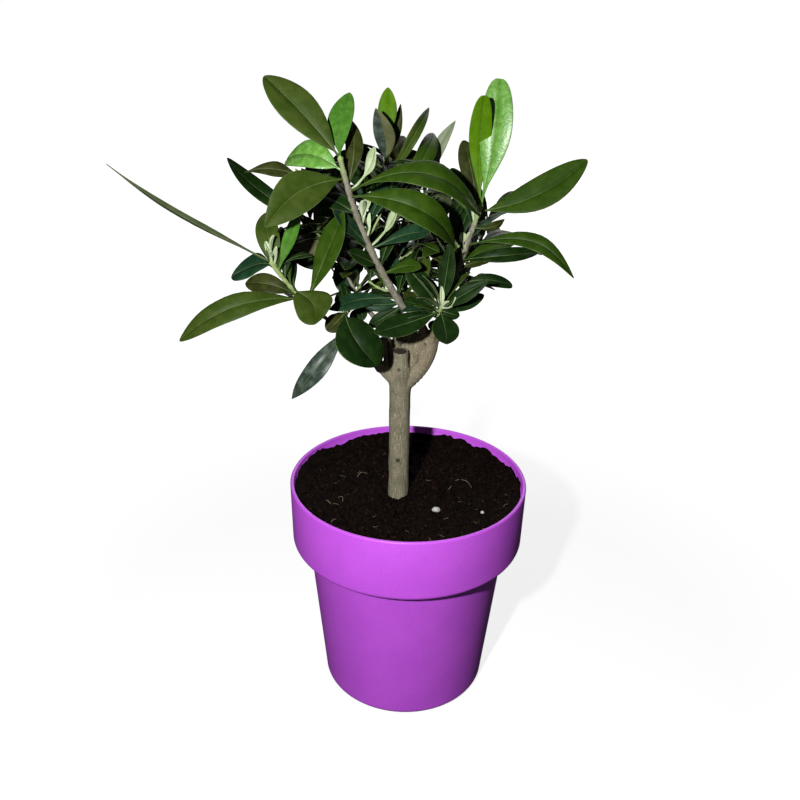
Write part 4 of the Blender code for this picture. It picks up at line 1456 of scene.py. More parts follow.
@dataclass
class Foliage:
    """All leaves, one piece for each mass, and the young pale ones apart."""

    crown: Crown
    view: Viewpoint
    checked_at: tuple[float, ...] = (0.3, 0.5, 0.75, 1.0)
    seed: int = 40
    grown_looks: tuple[tuple[Look, float], ...] = (
        (Look.DEEP, 0.50), (Look.MOSS, 0.16), (Look.OLIVE, 0.06), (Look.BLUE, 0.18), (Look.DUSK, 0.10),
    )
    grown_forms: tuple[Form, ...] = (Form.OVAL, Form.LONG, Form.LANCE, Form.SPOON)
    finishes: list[Material] = field(default_factory=list)

    def dress(self, mottle: Tree) -> None:
        """Make the leaf materials, in the order of their slots."""
        kinds = [*UPPER_FINISHES.values(), UNDER_FINISH, UNDER_YOUNG, RIB_FINISH, MARGIN_AND_RIM_HIGHLIGHT_FINISH]
        self.finishes = [kind.make(mottle) for kind in kinds]

    def hides_sky(self, leaf: Leaf, stem: Limb) -> bool:
        """Whether a grown leaf, or the side twig up to it, would stand where the photograph shows sky."""
        root = stem.point(leaf.at)
        along = leaf_axes(leaf)[0] * leaf.length
        places = [root + along * share for share in self.checked_at]
        if not any(stem is limb for limb in self.crown.drawn.values()):
            places += [stem.point(leaf.at * 0.5), root]
        return self.view.in_open_sky(places)

    def standing(self, name: str) -> list[tuple[Leaf, Limb]]:
        """The leaves of a mass that show or hide no open sky, each with its limb."""
        shown = set(SHOOTS[name].leaves)
        return [pair for pair in self.crown.kept[name] if pair[0] in shown or not self.hides_sky(*pair)]

    def deal(self, leaf: Leaf, dice: random.Random) -> Leaf:
        """Give a leaf that grew by rule its look and form."""
        looks = [look for look, _ in self.grown_looks]
        weights = [weight for _, weight in self.grown_looks]
        return replace(leaf, look=dice.choices(looks, weights)[0], form=dice.choice(self.grown_forms))

    def build(self) -> None:
        """Build every mass's leaves and join them by kind."""
        for number, (name, kept) in enumerate(self.crown.kept.items()):
            dice = random.Random(self.seed + number)
            shown = set(SHOOTS[name].leaves)
            dealt = [(leaf if leaf in shown else self.deal(leaf, dice), stem) for leaf, stem in kept]
            dealt = [pair for pair in dealt if pair[0] in shown or not self.hides_sky(*pair)]
            dealt += [(leaf, self.crown.drawn[name]) for leaf in (*INNER.get(name, ()), *BUDS.get(name, ()))]
            grown = [pair for pair in dealt if pair[0].look is not Look.YOUNG]
            young = [pair for pair in dealt if pair[0].look is Look.YOUNG]
            self.join("leaves_" + name, name, grown, dice)
            if young:
                self.join("young_leaves_" + name, name, young, dice)

    def join(self, piece_name: str, mass: str, leaves: list[tuple[Leaf, Limb]], dice: random.Random) -> None:
        """Build some leaves of a mass as one piece.

        Args:
            piece_name: The piece's name.
            mass: The mass that they belong to.
            leaves: The leaves, each with the limb that it stands on.
            dice: Where their small differences come from.
        """
        blades = [Blade(leaf, stem, dice).build() for leaf, stem in leaves]
        shape = joined((points, faces) for points, faces, _ in blades)
        slots = [slot for _, _, blade_slots in blades for slot in blade_slots]
        seat(add_piece(piece_name, shape, self.finishes, slots), ["mass_" + mass])


@dataclass
class Twigs:
    """The stems and side twigs of all masses, swollen at each pair of leaves and with a bud at the tip."""

    crown: Crown
    foliage: Foliage
    steps: int = 90
    sprig_steps: int = 24
    sides: int = 14
    sunk: float = 0.0025
    slimmed: float = 0.90
    node_swell: float = 0.00030
    node_reach: float = 0.0011
    greens_over: float = 0.15
    sprig_green_from: float = 0.1
    past_last_leaf: float = 0.02
    foot_share: float = 0.9
    bud: float = 0.0012
    bud_share: float = 0.25
    ridge: float = 0.00012

    def tree(self) -> Tree:
        """The Geometry Nodes tree that turns lines with a thickness into closed, slightly rough stems."""
        net = geometry_net("stem_sweep", {"Lines": "Geometry", "Sides": 14, "Ridge": 0.0001})
        start = net.start
        curve = net.add("GeometryNodeMeshToCurve", {"Mesh": start["Lines"]})
        thick = net.add("GeometryNodeInputNamedAttribute", {"Name": "thickness"}, data_type="FLOAT")
        circle = net.add("GeometryNodeCurvePrimitiveCircle", {"Resolution": start["Sides"], "Radius": 1.0})
        swept = net.add("GeometryNodeCurveToMesh", {
            "Curve": curve.outputs[0], "Profile Curve": circle.outputs[0], "Scale": thick.outputs[0],
            "Fill Caps": True,
        })
        place = net.add("GeometryNodeInputPosition").outputs[0]
        rough = net.cloud(net.vector("MULTIPLY", place, (1.0, 1.0, 0.35)), 1500.0, 2.0)
        height = net.maths("MULTIPLY", net.maths("SUBTRACT", rough, 0.5), start["Ridge"])
        normal = net.add("GeometryNodeInputNormal").outputs[0]
        moved = net.shifted(swept, net.scaled(normal, height))
        return net.dress(net.add("GeometryNodeSetShadeSmooth", {"Geometry": moved.outputs[0],
                                                                "Shade Smooth": True}))

    def line(self, limb: Limb, steps: int, nodes: Iterable[float], green_from: float,
             sunk: float) -> list[tuple[Vector, float, float]]:
        """One stem's middle line.

        Args:
            limb: The stem.
            steps: How many steps it is drawn in.
            nodes: The shares where leaves stand.
            green_from: The share from where it is green.
            sunk: How far its foot is sunk into what carries it.

        Returns:
            Points, each with its thickness and how green it is.
        """
        length = (limb.tip - limb.foot).length
        foot_radius = limb.radius(0) * self.slimmed * self.foot_share
        found = [(limb.foot - limb.direction(0) * sunk, foot_radius, 0.0)]
        for step in range(steps + 1):
            share = step / steps
            swell = sum(math.exp(-((share - node) * length / self.node_reach) ** 2) for node in nodes)
            thick = limb.radius(share) * self.slimmed + self.node_swell * min(1.0, swell)
            green = (share - green_from) / self.greens_over
            found.append((limb.point(share), thick, min(1.0, max(0.0, green))))
        found.append((limb.tip + limb.direction(1) * self.bud, limb.radius(1) * self.bud_share, 1.0))
        return found

    def lines(self) -> list[list[tuple[Vector, float, float]]]:
        """The middle lines of every stem and side twig."""
        found = []
        for name, stem in self.crown.drawn.items():
            standing = self.foliage.standing(name)
            nodes = sorted({round(leaf.at, 2) for leaf, limb in standing if limb is stem})
            found.append(self.line(stem, self.steps, nodes, SHOOTS[name].green_from, self.sunk))
            for sprig in self.crown.sprigs[name]:
                places = [leaf.at for leaf, limb in standing if limb is sprig]
                if not places:
                    continue
                end = min(1.0, max(places) + self.past_last_leaf)
                cut = replace(sprig, tip=sprig.point(end), bow=sprig.bow * end ** 2,
                              tip_radius=sprig.radius(end))
                nodes = sorted({round(place / end, 2) for place in places})
                found.append(self.line(cut, self.sprig_steps, nodes, self.sprig_green_from, 0.0))
        return found

    def build(self, finish: Material) -> None:
        """Build the stems as one piece."""
        mesh = bpy.data.meshes.new("twigs")
        lines = self.lines()
        rows = [row for line in lines for row in line]
        edges = []
        first = 0
        for line in lines:
            edges += [(index, index + 1) for index in range(first, first + len(line) - 1)]
            first += len(line)
        mesh.from_pydata([tuple(point) for point, _, _ in rows], edges, [])
        for column, label in ((1, "thickness"), (2, "green")):
            values = [row[column] for row in rows]
            mesh.attributes.new(label, "FLOAT", "POINT").data.foreach_set("value", values)
        piece = new_object("twigs", mesh)
        run_nodes(piece, self.tree(), {"Sides": self.sides, "Ridge": self.ridge, "Finish": finish})
        face_outwards(piece.data)
        seat(piece, ["mass_" + name for name in self.crown.stems])


@dataclass(frozen=True)
class Scar:
    """A pit, knot or hollow in the bark, with how dark its painted shade is and how much lip it has."""

    place: Place
    radius: float
    depth: float
    shade: float = 1.0


@dataclass(frozen=True)
class Crack:
    """A narrow split in the bark from one place to another, sunk and darkened with painted shade."""

    start: Place
    end: Place
    half_width: float
    depth: float


@dataclass
class Bark:
    """Trunk, arms, old cut and boughs as one skin with the bark's relief."""

    stems: dict[str, Limb]
    boughs: dict[str, Limb]
    voxel: float = 0.00036
    sides: int = 28
    steps: int = 28
    buried: float = 0.0030
    stub: Limb = Limb(Vector((-0.0056, -0.0040, 0.1880)), Vector((-0.0058, -0.0056, 0.2055)), 0.0056, 0.0043)
    arm_share: float = 0.95
    arm_back: float = 0.001
    arm_past: float = 0.0030
    arm_end: float = 0.55
    sleeve: float = 0.0075
    sleeve_back: float = 0.0016
    sleeve_shares: Pair = (0.98, 0.72)
    bough_flare: float = 0.0006
    bough_back: float = 0.0012
    stem_radii: Pair = (0.0055, 0.0054)
    stem_flare: float = 0.0002
    stem_swell: float = 0.0008
    softened: int = 14
    grain: float = 0.00011
    grain_scale: Place = (800, 800, 120)
    lumps: float = 0.00034
    lump_scale: Place = (150, 150, 110)
    fine: float = 0.00004
    fine_scale: float = 1500
    # Grain furrows: from where they open, how much deeper they sink, and how strong their painted shade is
    crack_from: float = 0.42
    crack_deepens: float = 3.0
    crack_shade: float = 1.6
    lip_at: float = 1.5
    lip_width: float = 0.5
    lip: float = 0.45
    # How far a pit's painted shade reaches, in its radii
    scar_shade_reach: float = 1.1
    # How strong a crack's painted shade is
    split_shade: float = 0.9
    warm_from: Pair = (-0.004, 0.188)
    warm_over: Pair = (0.006, 0.012)
    saddles: tuple[Limb, ...] = (
        Limb(Vector((-0.0010, 0.0000, 0.1870)), Vector((0.0050, 0.0005, 0.2130)), 0.0048, 0.0038),
        Limb(Vector((-0.0030, 0.0015, 0.1880)), Vector((-0.0020, 0.0035, 0.2180)), 0.0048, 0.0044),
        Limb(Vector((-0.0085, -0.0035, 0.1890)), Vector((-0.0140, -0.0045, 0.2120)), 0.0034, 0.0028),
    )
    scars: tuple[Scar, ...] = (
        Scar((0.0062, -0.0062, 0.2091), 0.0011, 0.0012),
        Scar((-0.0058, -0.0094, 0.1432), 0.0012, 0.0005),
        Scar((-0.0063, -0.0092, 0.1962), 0.0009, 0.0004),
        Scar((0.0008, -0.0042, 0.1998), 0.0028, 0.0018, shade=0.0),
    )
    cracks: tuple[Crack, ...] = (
        Crack((0.0062, -0.0062, 0.2091), (0.0045, -0.0062, 0.2156), 0.00045, 0.0005),
        Crack((-0.0066, 0.0008, 0.2058), (-0.0032, -0.0015, 0.2095), 0.00060, 0.0007),
        Crack((-0.0112, -0.0070, 0.1980), (-0.0118, -0.0066, 0.2095), 0.00090, 0.0014),
        Crack((-0.0061, -0.0102, 0.1995), (-0.0066, -0.0098, 0.1900), 0.00030, 0.0003),
    )
    wrinkle_gap: float = 0.0026
    wrinkle: float = 0.00016
    wrinkled: float = 0.013
    wrinkle_reach: float = 0.0075
    wrinkle_right: Pair = (0.0005, 0.002)
    wrinkle_fades: Pair = (0.003, 0.004)
    end_share: float = 0.86
    end_back: float = 0.0012
    end_rim: float = 0.0005
    end_depth: float = 0.00045
    end_scales: Pair = (900, 2300)
    end_fine: float = 0.6

    def limbs(self) -> list[tuple[Limb, float, float]]:
        """Every limb with the shares where it starts and stops in the skin."""
        stem = Limb(TRUNK_FOOT, FORK, *self.stem_radii, flare=self.stem_flare, swell=self.stem_swell)
        length = (FORK - TRUNK_FOOT).length
        found = [(stem, -self.buried / length, 1.0), (self.stub, 0.0, 1.0)]
        found += [(saddle, 0.0, 1.0) for saddle in self.saddles]
        for arm in ARMS.values():
            arm = replace(arm, foot_radius=arm.foot_radius * self.arm_share,
                          tip_radius=arm.tip_radius * self.arm_share)
            found.append((arm, 0.0, 1.0))
            heading = arm.direction(1)
            cap = Limb(arm.tip - heading * self.arm_back, arm.tip + heading * self.arm_past, arm.tip_radius,
                       arm.tip_radius * self.arm_end)
            found.append((cap, 0.0, 1.0))
        for bough in self.boughs.values():
            length = (bough.tip - bough.foot).length
            found.append((replace(bough, flare=self.bough_flare), -self.bough_back / length, 1.0))
        for name, stem in self.stems.items():
            length = (stem.tip - stem.foot).length
            bough = self.boughs[SHOOTS[name].bough]
            end = self.sleeve / length
            foot_share, end_share = self.sleeve_shares
            sleeve = Limb(bough.tip - bough.direction(1) * self.sleeve_back, stem.point(end),
                          bough.tip_radius * foot_share, stem.radius(end) * end_share)
            found.append((sleeve, 0.0, 1.0))
        return found

    def skin(self) -> Item:
        """The limbs fused into one closed skin of small even faces."""
        shapes = []
        for limb, start, stop in self.limbs():
            fine = replace(limb, foot_normal=None, sides=self.sides, steps=self.steps)
            shapes.append(tube(fine, start, stop))
        piece = add_piece("bark", joined(shapes), [])
        remesh = piece.modifiers.new("skin", "REMESH")
        remesh.mode = "VOXEL"
        remesh.voxel_size = self.voxel
        soften = piece.modifiers.new("soften", "SMOOTH")
        soften.factor = 0.5
        soften.iterations = self.softened
        keep_evaluated(piece)
        return piece

    def limb_places(self, places: np.ndarray) -> np.ndarray:
        """Where each point lies along and across its nearest limb, for grain that follows the wood.

        Args:
            places: The points, one a row.

        Returns:
            A row for each point: two lengths across the limb and one along it.
        """
        best = np.full(len(places), np.inf)
        found = np.zeros((len(places), 3))
        for number, (limb, start, stop) in enumerate(self.limbs()):
            length = (limb.tip - limb.foot).length
            for step in range(13):
                share = start + (stop - start) * step / 12
                middle = np.array(limb.point(share))
                away = places - middle
                apart = np.linalg.norm(away, axis=1) - limb.radius(share)
                nearer = apart < best
                heading = limb.direction(share)
                first, second = ring_frame(heading)
                rows = away[nearer]
                local = np.stack([rows @ np.array(first), rows @ np.array(second),
                                  rows @ np.array(heading) + length * share], axis=1)
                found[nearer] = local + number * 0.05
                best[nearer] = apart[nearer]
        return found

    def carve(self, mesh: bpy.types.Mesh) -> None:
        """Move the skin's points by the bark's relief, mark painted shade in its cracks and pits, and mark
        the old cut's dark wood.

        Args:
            mesh: The skin.
        """
        count = len(mesh.vertices)
        places = np.zeros(count * 3)
        normals = np.zeros(count * 3)
        mesh.vertices.foreach_get("co", places)
        mesh.vertices.foreach_get("normal", normals)
        places = places.reshape(-1, 3)
        normals = normals.reshape(-1, 3)
        local = self.limb_places(places)
        grained = local * np.array(self.grain_scale)
        lumped = local * np.array(self.lump_scale)
        height = np.zeros(count)
        dark = np.zeros(count)
        for index in range(count):
            grain = noise.noise(Vector(grained[index]))
            lump = noise.noise(Vector(lumped[index]) + Vector((7, 3, 1)))
            speck = noise.noise(Vector(places[index]) * self.fine_scale)
            crack = max(0.0, -grain - self.crack_from)
            height[index] = self.grain * grain + self.lumps * lump + self.fine * speck
            # The deepest grain furrows are sunk and darkened with painted shade
            height[index] -= self.grain * self.crack_deepens * crack
            dark[index] = min(1.0, self.crack_shade * crack)
        # Pits are sunk and darkened with painted shade; a scar with no shade is a pale hollow
        for scar in self.scars:
            apart = np.linalg.norm(places - np.array(scar.place), axis=1) / scar.radius
            pit = np.exp(-apart ** 2)
            lip = np.exp(-((apart - self.lip_at) / self.lip_width) ** 2)
            height += scar.depth * (self.lip * scar.shade * lip - pit)
            dark = np.maximum(dark, scar.shade * np.exp(-(apart / self.scar_shade_reach) ** 4))
        # Cracks are sunk and darkened along their lines with painted shade
        for split in self.cracks:
            apart = self.off_line(places, split.start, split.end) / split.half_width
            height -= split.depth * np.exp(-apart ** 2)
            dark = np.maximum(dark, self.split_shade * np.exp(-apart ** 2))
        height += self.wrinkles(places)
        # The old cut's end is dark wood of its own, inside a low rim
        cut, cut_dark = self.cut_wood(places)
        height += cut
        dark = np.maximum(dark, cut_dark)
        places += normals * height[:, None]
        mesh.vertices.foreach_set("co", places.ravel())
        rightward, upward = [np.clip((places[:, axis] - start) / over, 0, 1)
                             for axis, start, over in zip((0, 2), self.warm_from, self.warm_over)]
        # dark holds the painted shade of cracks and pits and the old cut's own dark wood
        for label, values in (("dark", dark), ("warm", rightward * upward)):
            mesh.attributes.new(label, "FLOAT", "POINT").data.foreach_set("value", values)
        mesh.update()

    def off_line(self, places: np.ndarray, start: Sequence[float], end: Sequence[float]) -> np.ndarray:
        """How far each point is from a straight stretch."""
        low = np.array(start)
        run = np.array(end) - low
        share = np.clip((places - low) @ run / (run @ run), 0, 1)
        return np.linalg.norm(places - low - share[:, None] * run, axis=1)

    def wrinkles(self, places: np.ndarray) -> np.ndarray:
        """The folds that cross the foot of the right arm."""
        arm = ARMS["right"]
        heading = np.array(arm.direction(0.5))
        along = (places - np.array(arm.foot)) @ heading
        near = self.off_line(places, arm.foot, arm.tip) < self.wrinkle_reach
        start, over = self.wrinkle_right
        right = np.clip((places[:, 0] - start) / over, 0, 1)
        fade_in, fade_out = self.wrinkle_fades
        fade = np.clip(along / fade_in, 0, 1) * np.clip((self.wrinkled + fade_out - along) / fade_out, 0, 1)
        return near * right * fade * self.wrinkle * np.cos(2 * math.pi * along / self.wrinkle_gap)

    def cut_wood(self, places: np.ndarray) -> tuple[np.ndarray, np.ndarray]:
        """The old cut's end: a rough dark face inside a low rim, and the crack that runs from it.

        Args:
            places: The skin's points.

        Returns:
            How far each point is raised and how dark it is.
        """
        facing = np.array(self.stub.direction(1))
        away = places - np.array(self.stub.tip)
        depth = away @ facing
        spread = np.linalg.norm(away - depth[:, None] * facing, axis=1)
        inner_radius = self.stub.tip_radius * self.end_share
        on_end = (depth > -self.end_back) & (spread < inner_radius)
        dark = np.where(on_end, np.clip((inner_radius - spread) / self.end_rim, 0, 1), 0.0)
        height = np.zeros(len(places))
        coarse, fine = self.end_scales
        for index in np.nonzero(on_end)[0]:
            spot = Vector(places[index])
            rough = noise.noise(spot * coarse) + self.end_fine * noise.noise(spot * fine)
            height[index] = dark[index] * (self.end_depth * rough - self.end_depth)
        return height, dark

    def build(self, finish: Material) -> None:
        """Build the skin, carve it and let it stand for trunk and boughs."""
        piece = self.skin()
        self.carve(piece.data)
        piece.data.materials.clear()
        piece.data.materials.append(finish)
        piece.data.polygons.foreach_set("use_smooth", np.full(len(piece.data.polygons), True))
        seat(piece, ["trunk", *("bough_" + name for name in self.boughs)])


@dataclass(frozen=True)
class BarkFinish:
    """Grey-beige bark with fine pale flecks, painted shade in its cracks and pits, dark wood on the old
    cut's end, and warmer on the right arm.
    """

    name: str = "bark"
    base: Colour = srgb(110, 105, 85)
    patch: Colour = srgb(124, 118, 97)
    fleck: Colour = srgb(168, 164, 142)
    dirt: Colour = srgb(76, 69, 52)
    warm: Colour = srgb(124, 112, 92)
    # Colour of the painted shade in cracks and pits, also of the old cut's own dark wood
    dark: Colour = srgb(34, 27, 19)
    green: Colour = srgb(140, 160, 98)
    roughness: float = 0.85
    specular: float = 0.25
    patch_scale: float = 130.0
    patch_edges: Pair = (0.35, 0.65)
    warm_share: float = 0.8
    streak_scale: float = 900.0
    streak_shortened: float = 0.22
    streak_edges: Pair = (0.30, 0.66)
    streak_shades: Pair = (0.86, 1.06)
    scratch_scale: float = 1300.0
    scratch_shortened: float = 0.12
    scratch_edges: Pair = (0.60, 0.68)
    scratch_share: float = 0.60
    stain_scale: float = 700.0
    stain_aside: float = 0.3
    stain_edges: Pair = (0.62, 0.74)
    stain_share: float = 0.70
    speck_scale: float = 1500.0
    speck_edges: Pair = (0.60, 0.70)
    speck_share: float = 0.80
    mark_share: float = 0.9
    relief_scale: float = 2600.0
    relief: float = 0.00016

    def make(self) -> Material:
        """Make the material."""
        made, net, shader = new_finish(self.name)
        place = net.add("ShaderNodeTexCoord").outputs["Object"]
        large = net.ramp(net.cloud(place, self.patch_scale), *self.patch_edges)
        colour = net.blend(large, opaque(self.base), opaque(self.patch))

        def over(mask: Socket, share: float, colour_over: Colour) -> Socket:
            """The colour so far with another one laid over a share of it."""
            return net.blend(net.maths("MULTIPLY", mask, share), colour, opaque(colour_over))

        def marked(label: str) -> Socket:
            """A mark that the mesh carries."""
            return net.add("ShaderNodeAttribute", attribute_name=label).outputs["Fac"]

        def spots(where: Socket, scale: float, edges: Pair) -> Socket:
            """Where fine spots of one size show."""
            return net.ramp(net.cloud(where, scale, 2.0), *edges)

        colour = over(marked("warm"), self.warm_share, self.warm)
        drawn_out = net.vector("MULTIPLY", place, (1.0, 1.0, self.streak_shortened))
        streak = net.ramp(net.cloud(drawn_out, self.streak_scale), *self.streak_edges, *self.streak_shades)
        colour = net.scaled(colour, streak)
        long = net.vector("MULTIPLY", place, (1.0, 1.0, self.scratch_shortened))
        colour = over(spots(long, self.scratch_scale, self.scratch_edges), self.scratch_share, self.fleck)
        aside = net.vector("ADD", place, (self.stain_aside, 0, 0))
        colour = over(spots(aside, self.stain_scale, self.stain_edges), self.stain_share, self.dirt)
        colour = over(spots(place, self.speck_scale, self.speck_edges), self.speck_share, self.fleck)
        colour = over(marked("green"), self.mark_share, self.green)
        # Painted shade in cracks and pits, and the old cut's dark end
        colour = over(marked("dark"), self.mark_share, self.dark)
        fine = net.cloud(place, self.relief_scale, 2.0)
        net.feed(shader, {
            "Base Color": colour, "Roughness": self.roughness, "Specular IOR Level": self.specular,
            "Normal": net.bump(net.maths("MULTIPLY", net.maths("ADD", streak, fine), self.relief)),
        })
        return made


@dataclass
class Pot:
    """The collared pot, turned from its outline."""

    rim_radius: float
    height: float
    collar_foot_radius: float = 0.0643
    body_top_radius: float = 0.0555
    body_foot_radius: float = 0.0466
    collar_height: float = 0.0360
    wall: float = 0.0021
    floor: float = 0.0030
    foot_round: float = 0.0036
    collar_round: float = 0.0030
    ledge_drop: float = 0.0052
    ledge_height: float = 0.0006
    crease_share: float = 0.28
    crease_angle: float = 60
    crease_lean: float = 0.2
    ledge_lean: float = 0.4
    sides: int = 192
    arc_steps: int = 10

    def arc(self, centre_r: float, centre_z: float, radius: float, start: float,
            end: float) -> list[Pair]:
        """Outline points on an arc, from one angle to another."""
        angles = [math.radians(start + (end - start) * step / self.arc_steps)
                  for step in range(self.arc_steps + 1)]
        return [(centre_r + radius * math.cos(a), centre_z + radius * math.sin(a)) for a in angles]

    def outline(self) -> list[Pair]:
        """The closed section of the wall as radius and height, from the axis below to the axis inside."""
        foot = self.height - self.collar_height
        lip = self.wall / 2
        crease = self.wall * self.crease_share
        ledge = self.height - self.ledge_drop
        inner = self.rim_radius - self.wall
        points = [(0.0, 0.0)]
        points += self.arc(self.body_foot_radius - self.foot_round, self.foot_round, self.foot_round, -90, 0)
        points += [(self.body_top_radius - crease * self.crease_lean, foot - crease),
                   (self.body_top_radius, foot)]
        points += self.arc(self.collar_foot_radius - self.collar_round, foot + self.collar_round,
                           self.collar_round, -90, 0)
        points += self.arc(self.rim_radius - lip, self.height - lip, lip, 0, 180)
        points += [
            (inner, ledge + self.ledge_height),
            (inner - self.ledge_height, ledge),
            (inner - self.ledge_height * self.ledge_lean, ledge - self.ledge_height),
            (self.collar_foot_radius - self.wall, foot + self.wall),
            (self.body_top_radius - self.wall, foot + self.wall),
            (self.body_foot_radius - self.wall, self.floor),
            (0.0, self.floor),
        ]
        return points

    def tree(self) -> Tree:
        """The Geometry Nodes tree that turns an outline round the upright axis."""
        net = geometry_net("turned_wall", {"Outline": "Geometry", "Sides": 192})
        start = net.start
        count = net.add("GeometryNodeAttributeDomainSize", {"Geometry": start["Outline"]},
                        component="MESH").outputs["Point Count"]
        grid = net.add("GeometryNodeMeshGrid", {
            "Size X": 1.0, "Size Y": 1.0, "Vertices X": net.maths("ADD", start["Sides"], 1.0),
            "Vertices Y": count,
        })
        index = net.add("GeometryNodeInputIndex").outputs[0]
        column = net.maths("FLOOR", net.maths("DIVIDE", index, count))
        place = net.add("GeometryNodeInputPosition").outputs[0]
        section = net.add("GeometryNodeSampleIndex", {
            "Geometry": start["Outline"], "Value": place, "Index": net.maths("FLOORED_MODULO", index, count),
        }, data_type="FLOAT_VECTOR", domain="POINT").outputs[0]
        angle = net.maths("MULTIPLY", net.maths("DIVIDE", column, start["Sides"]), 2 * math.pi)
        turned = net.add("ShaderNodeVectorRotate", {"Vector": section, "Axis": (0, 0, 1), "Angle": angle},
                         rotation_type="AXIS_ANGLE").outputs[0]
        moved = net.add("GeometryNodeSetPosition", {"Geometry": grid.outputs[0], "Position": turned})
        closed = net.add("GeometryNodeMergeByDistance", {"Geometry": moved.outputs[0], "Distance": 0.00001})
        return net.dress(net.add("GeometryNodeSetShadeSmooth", {"Geometry": closed.outputs[0],
                                                                "Shade Smooth": True}))

    def build(self, finish: Material) -> None:
        """Turn the outline into the pot."""
        mesh = bpy.data.meshes.new("pot_shell")
        outline = self.outline()
        edges = [(index, index + 1) for index in range(len(outline) - 1)]
        mesh.from_pydata([(radius, 0.0, height) for radius, height in outline], edges, [])
        piece = new_object("pot_shell", mesh)
        run_nodes(piece, self.tree(), {"Sides": self.sides, "Finish": finish})
        face_outwards(piece.data)
        piece.data.set_sharp_from_angle(angle=math.radians(self.crease_angle))
        seat(piece, ["pot"])


@dataclass(frozen=True)
class Strewn:
    """Small things of one kind: how many lie on a square metre, their sizes and their lot."""

    name: str
    density: float
    smallest: float
    largest: float
    seed: int
    spread: float = 1.5


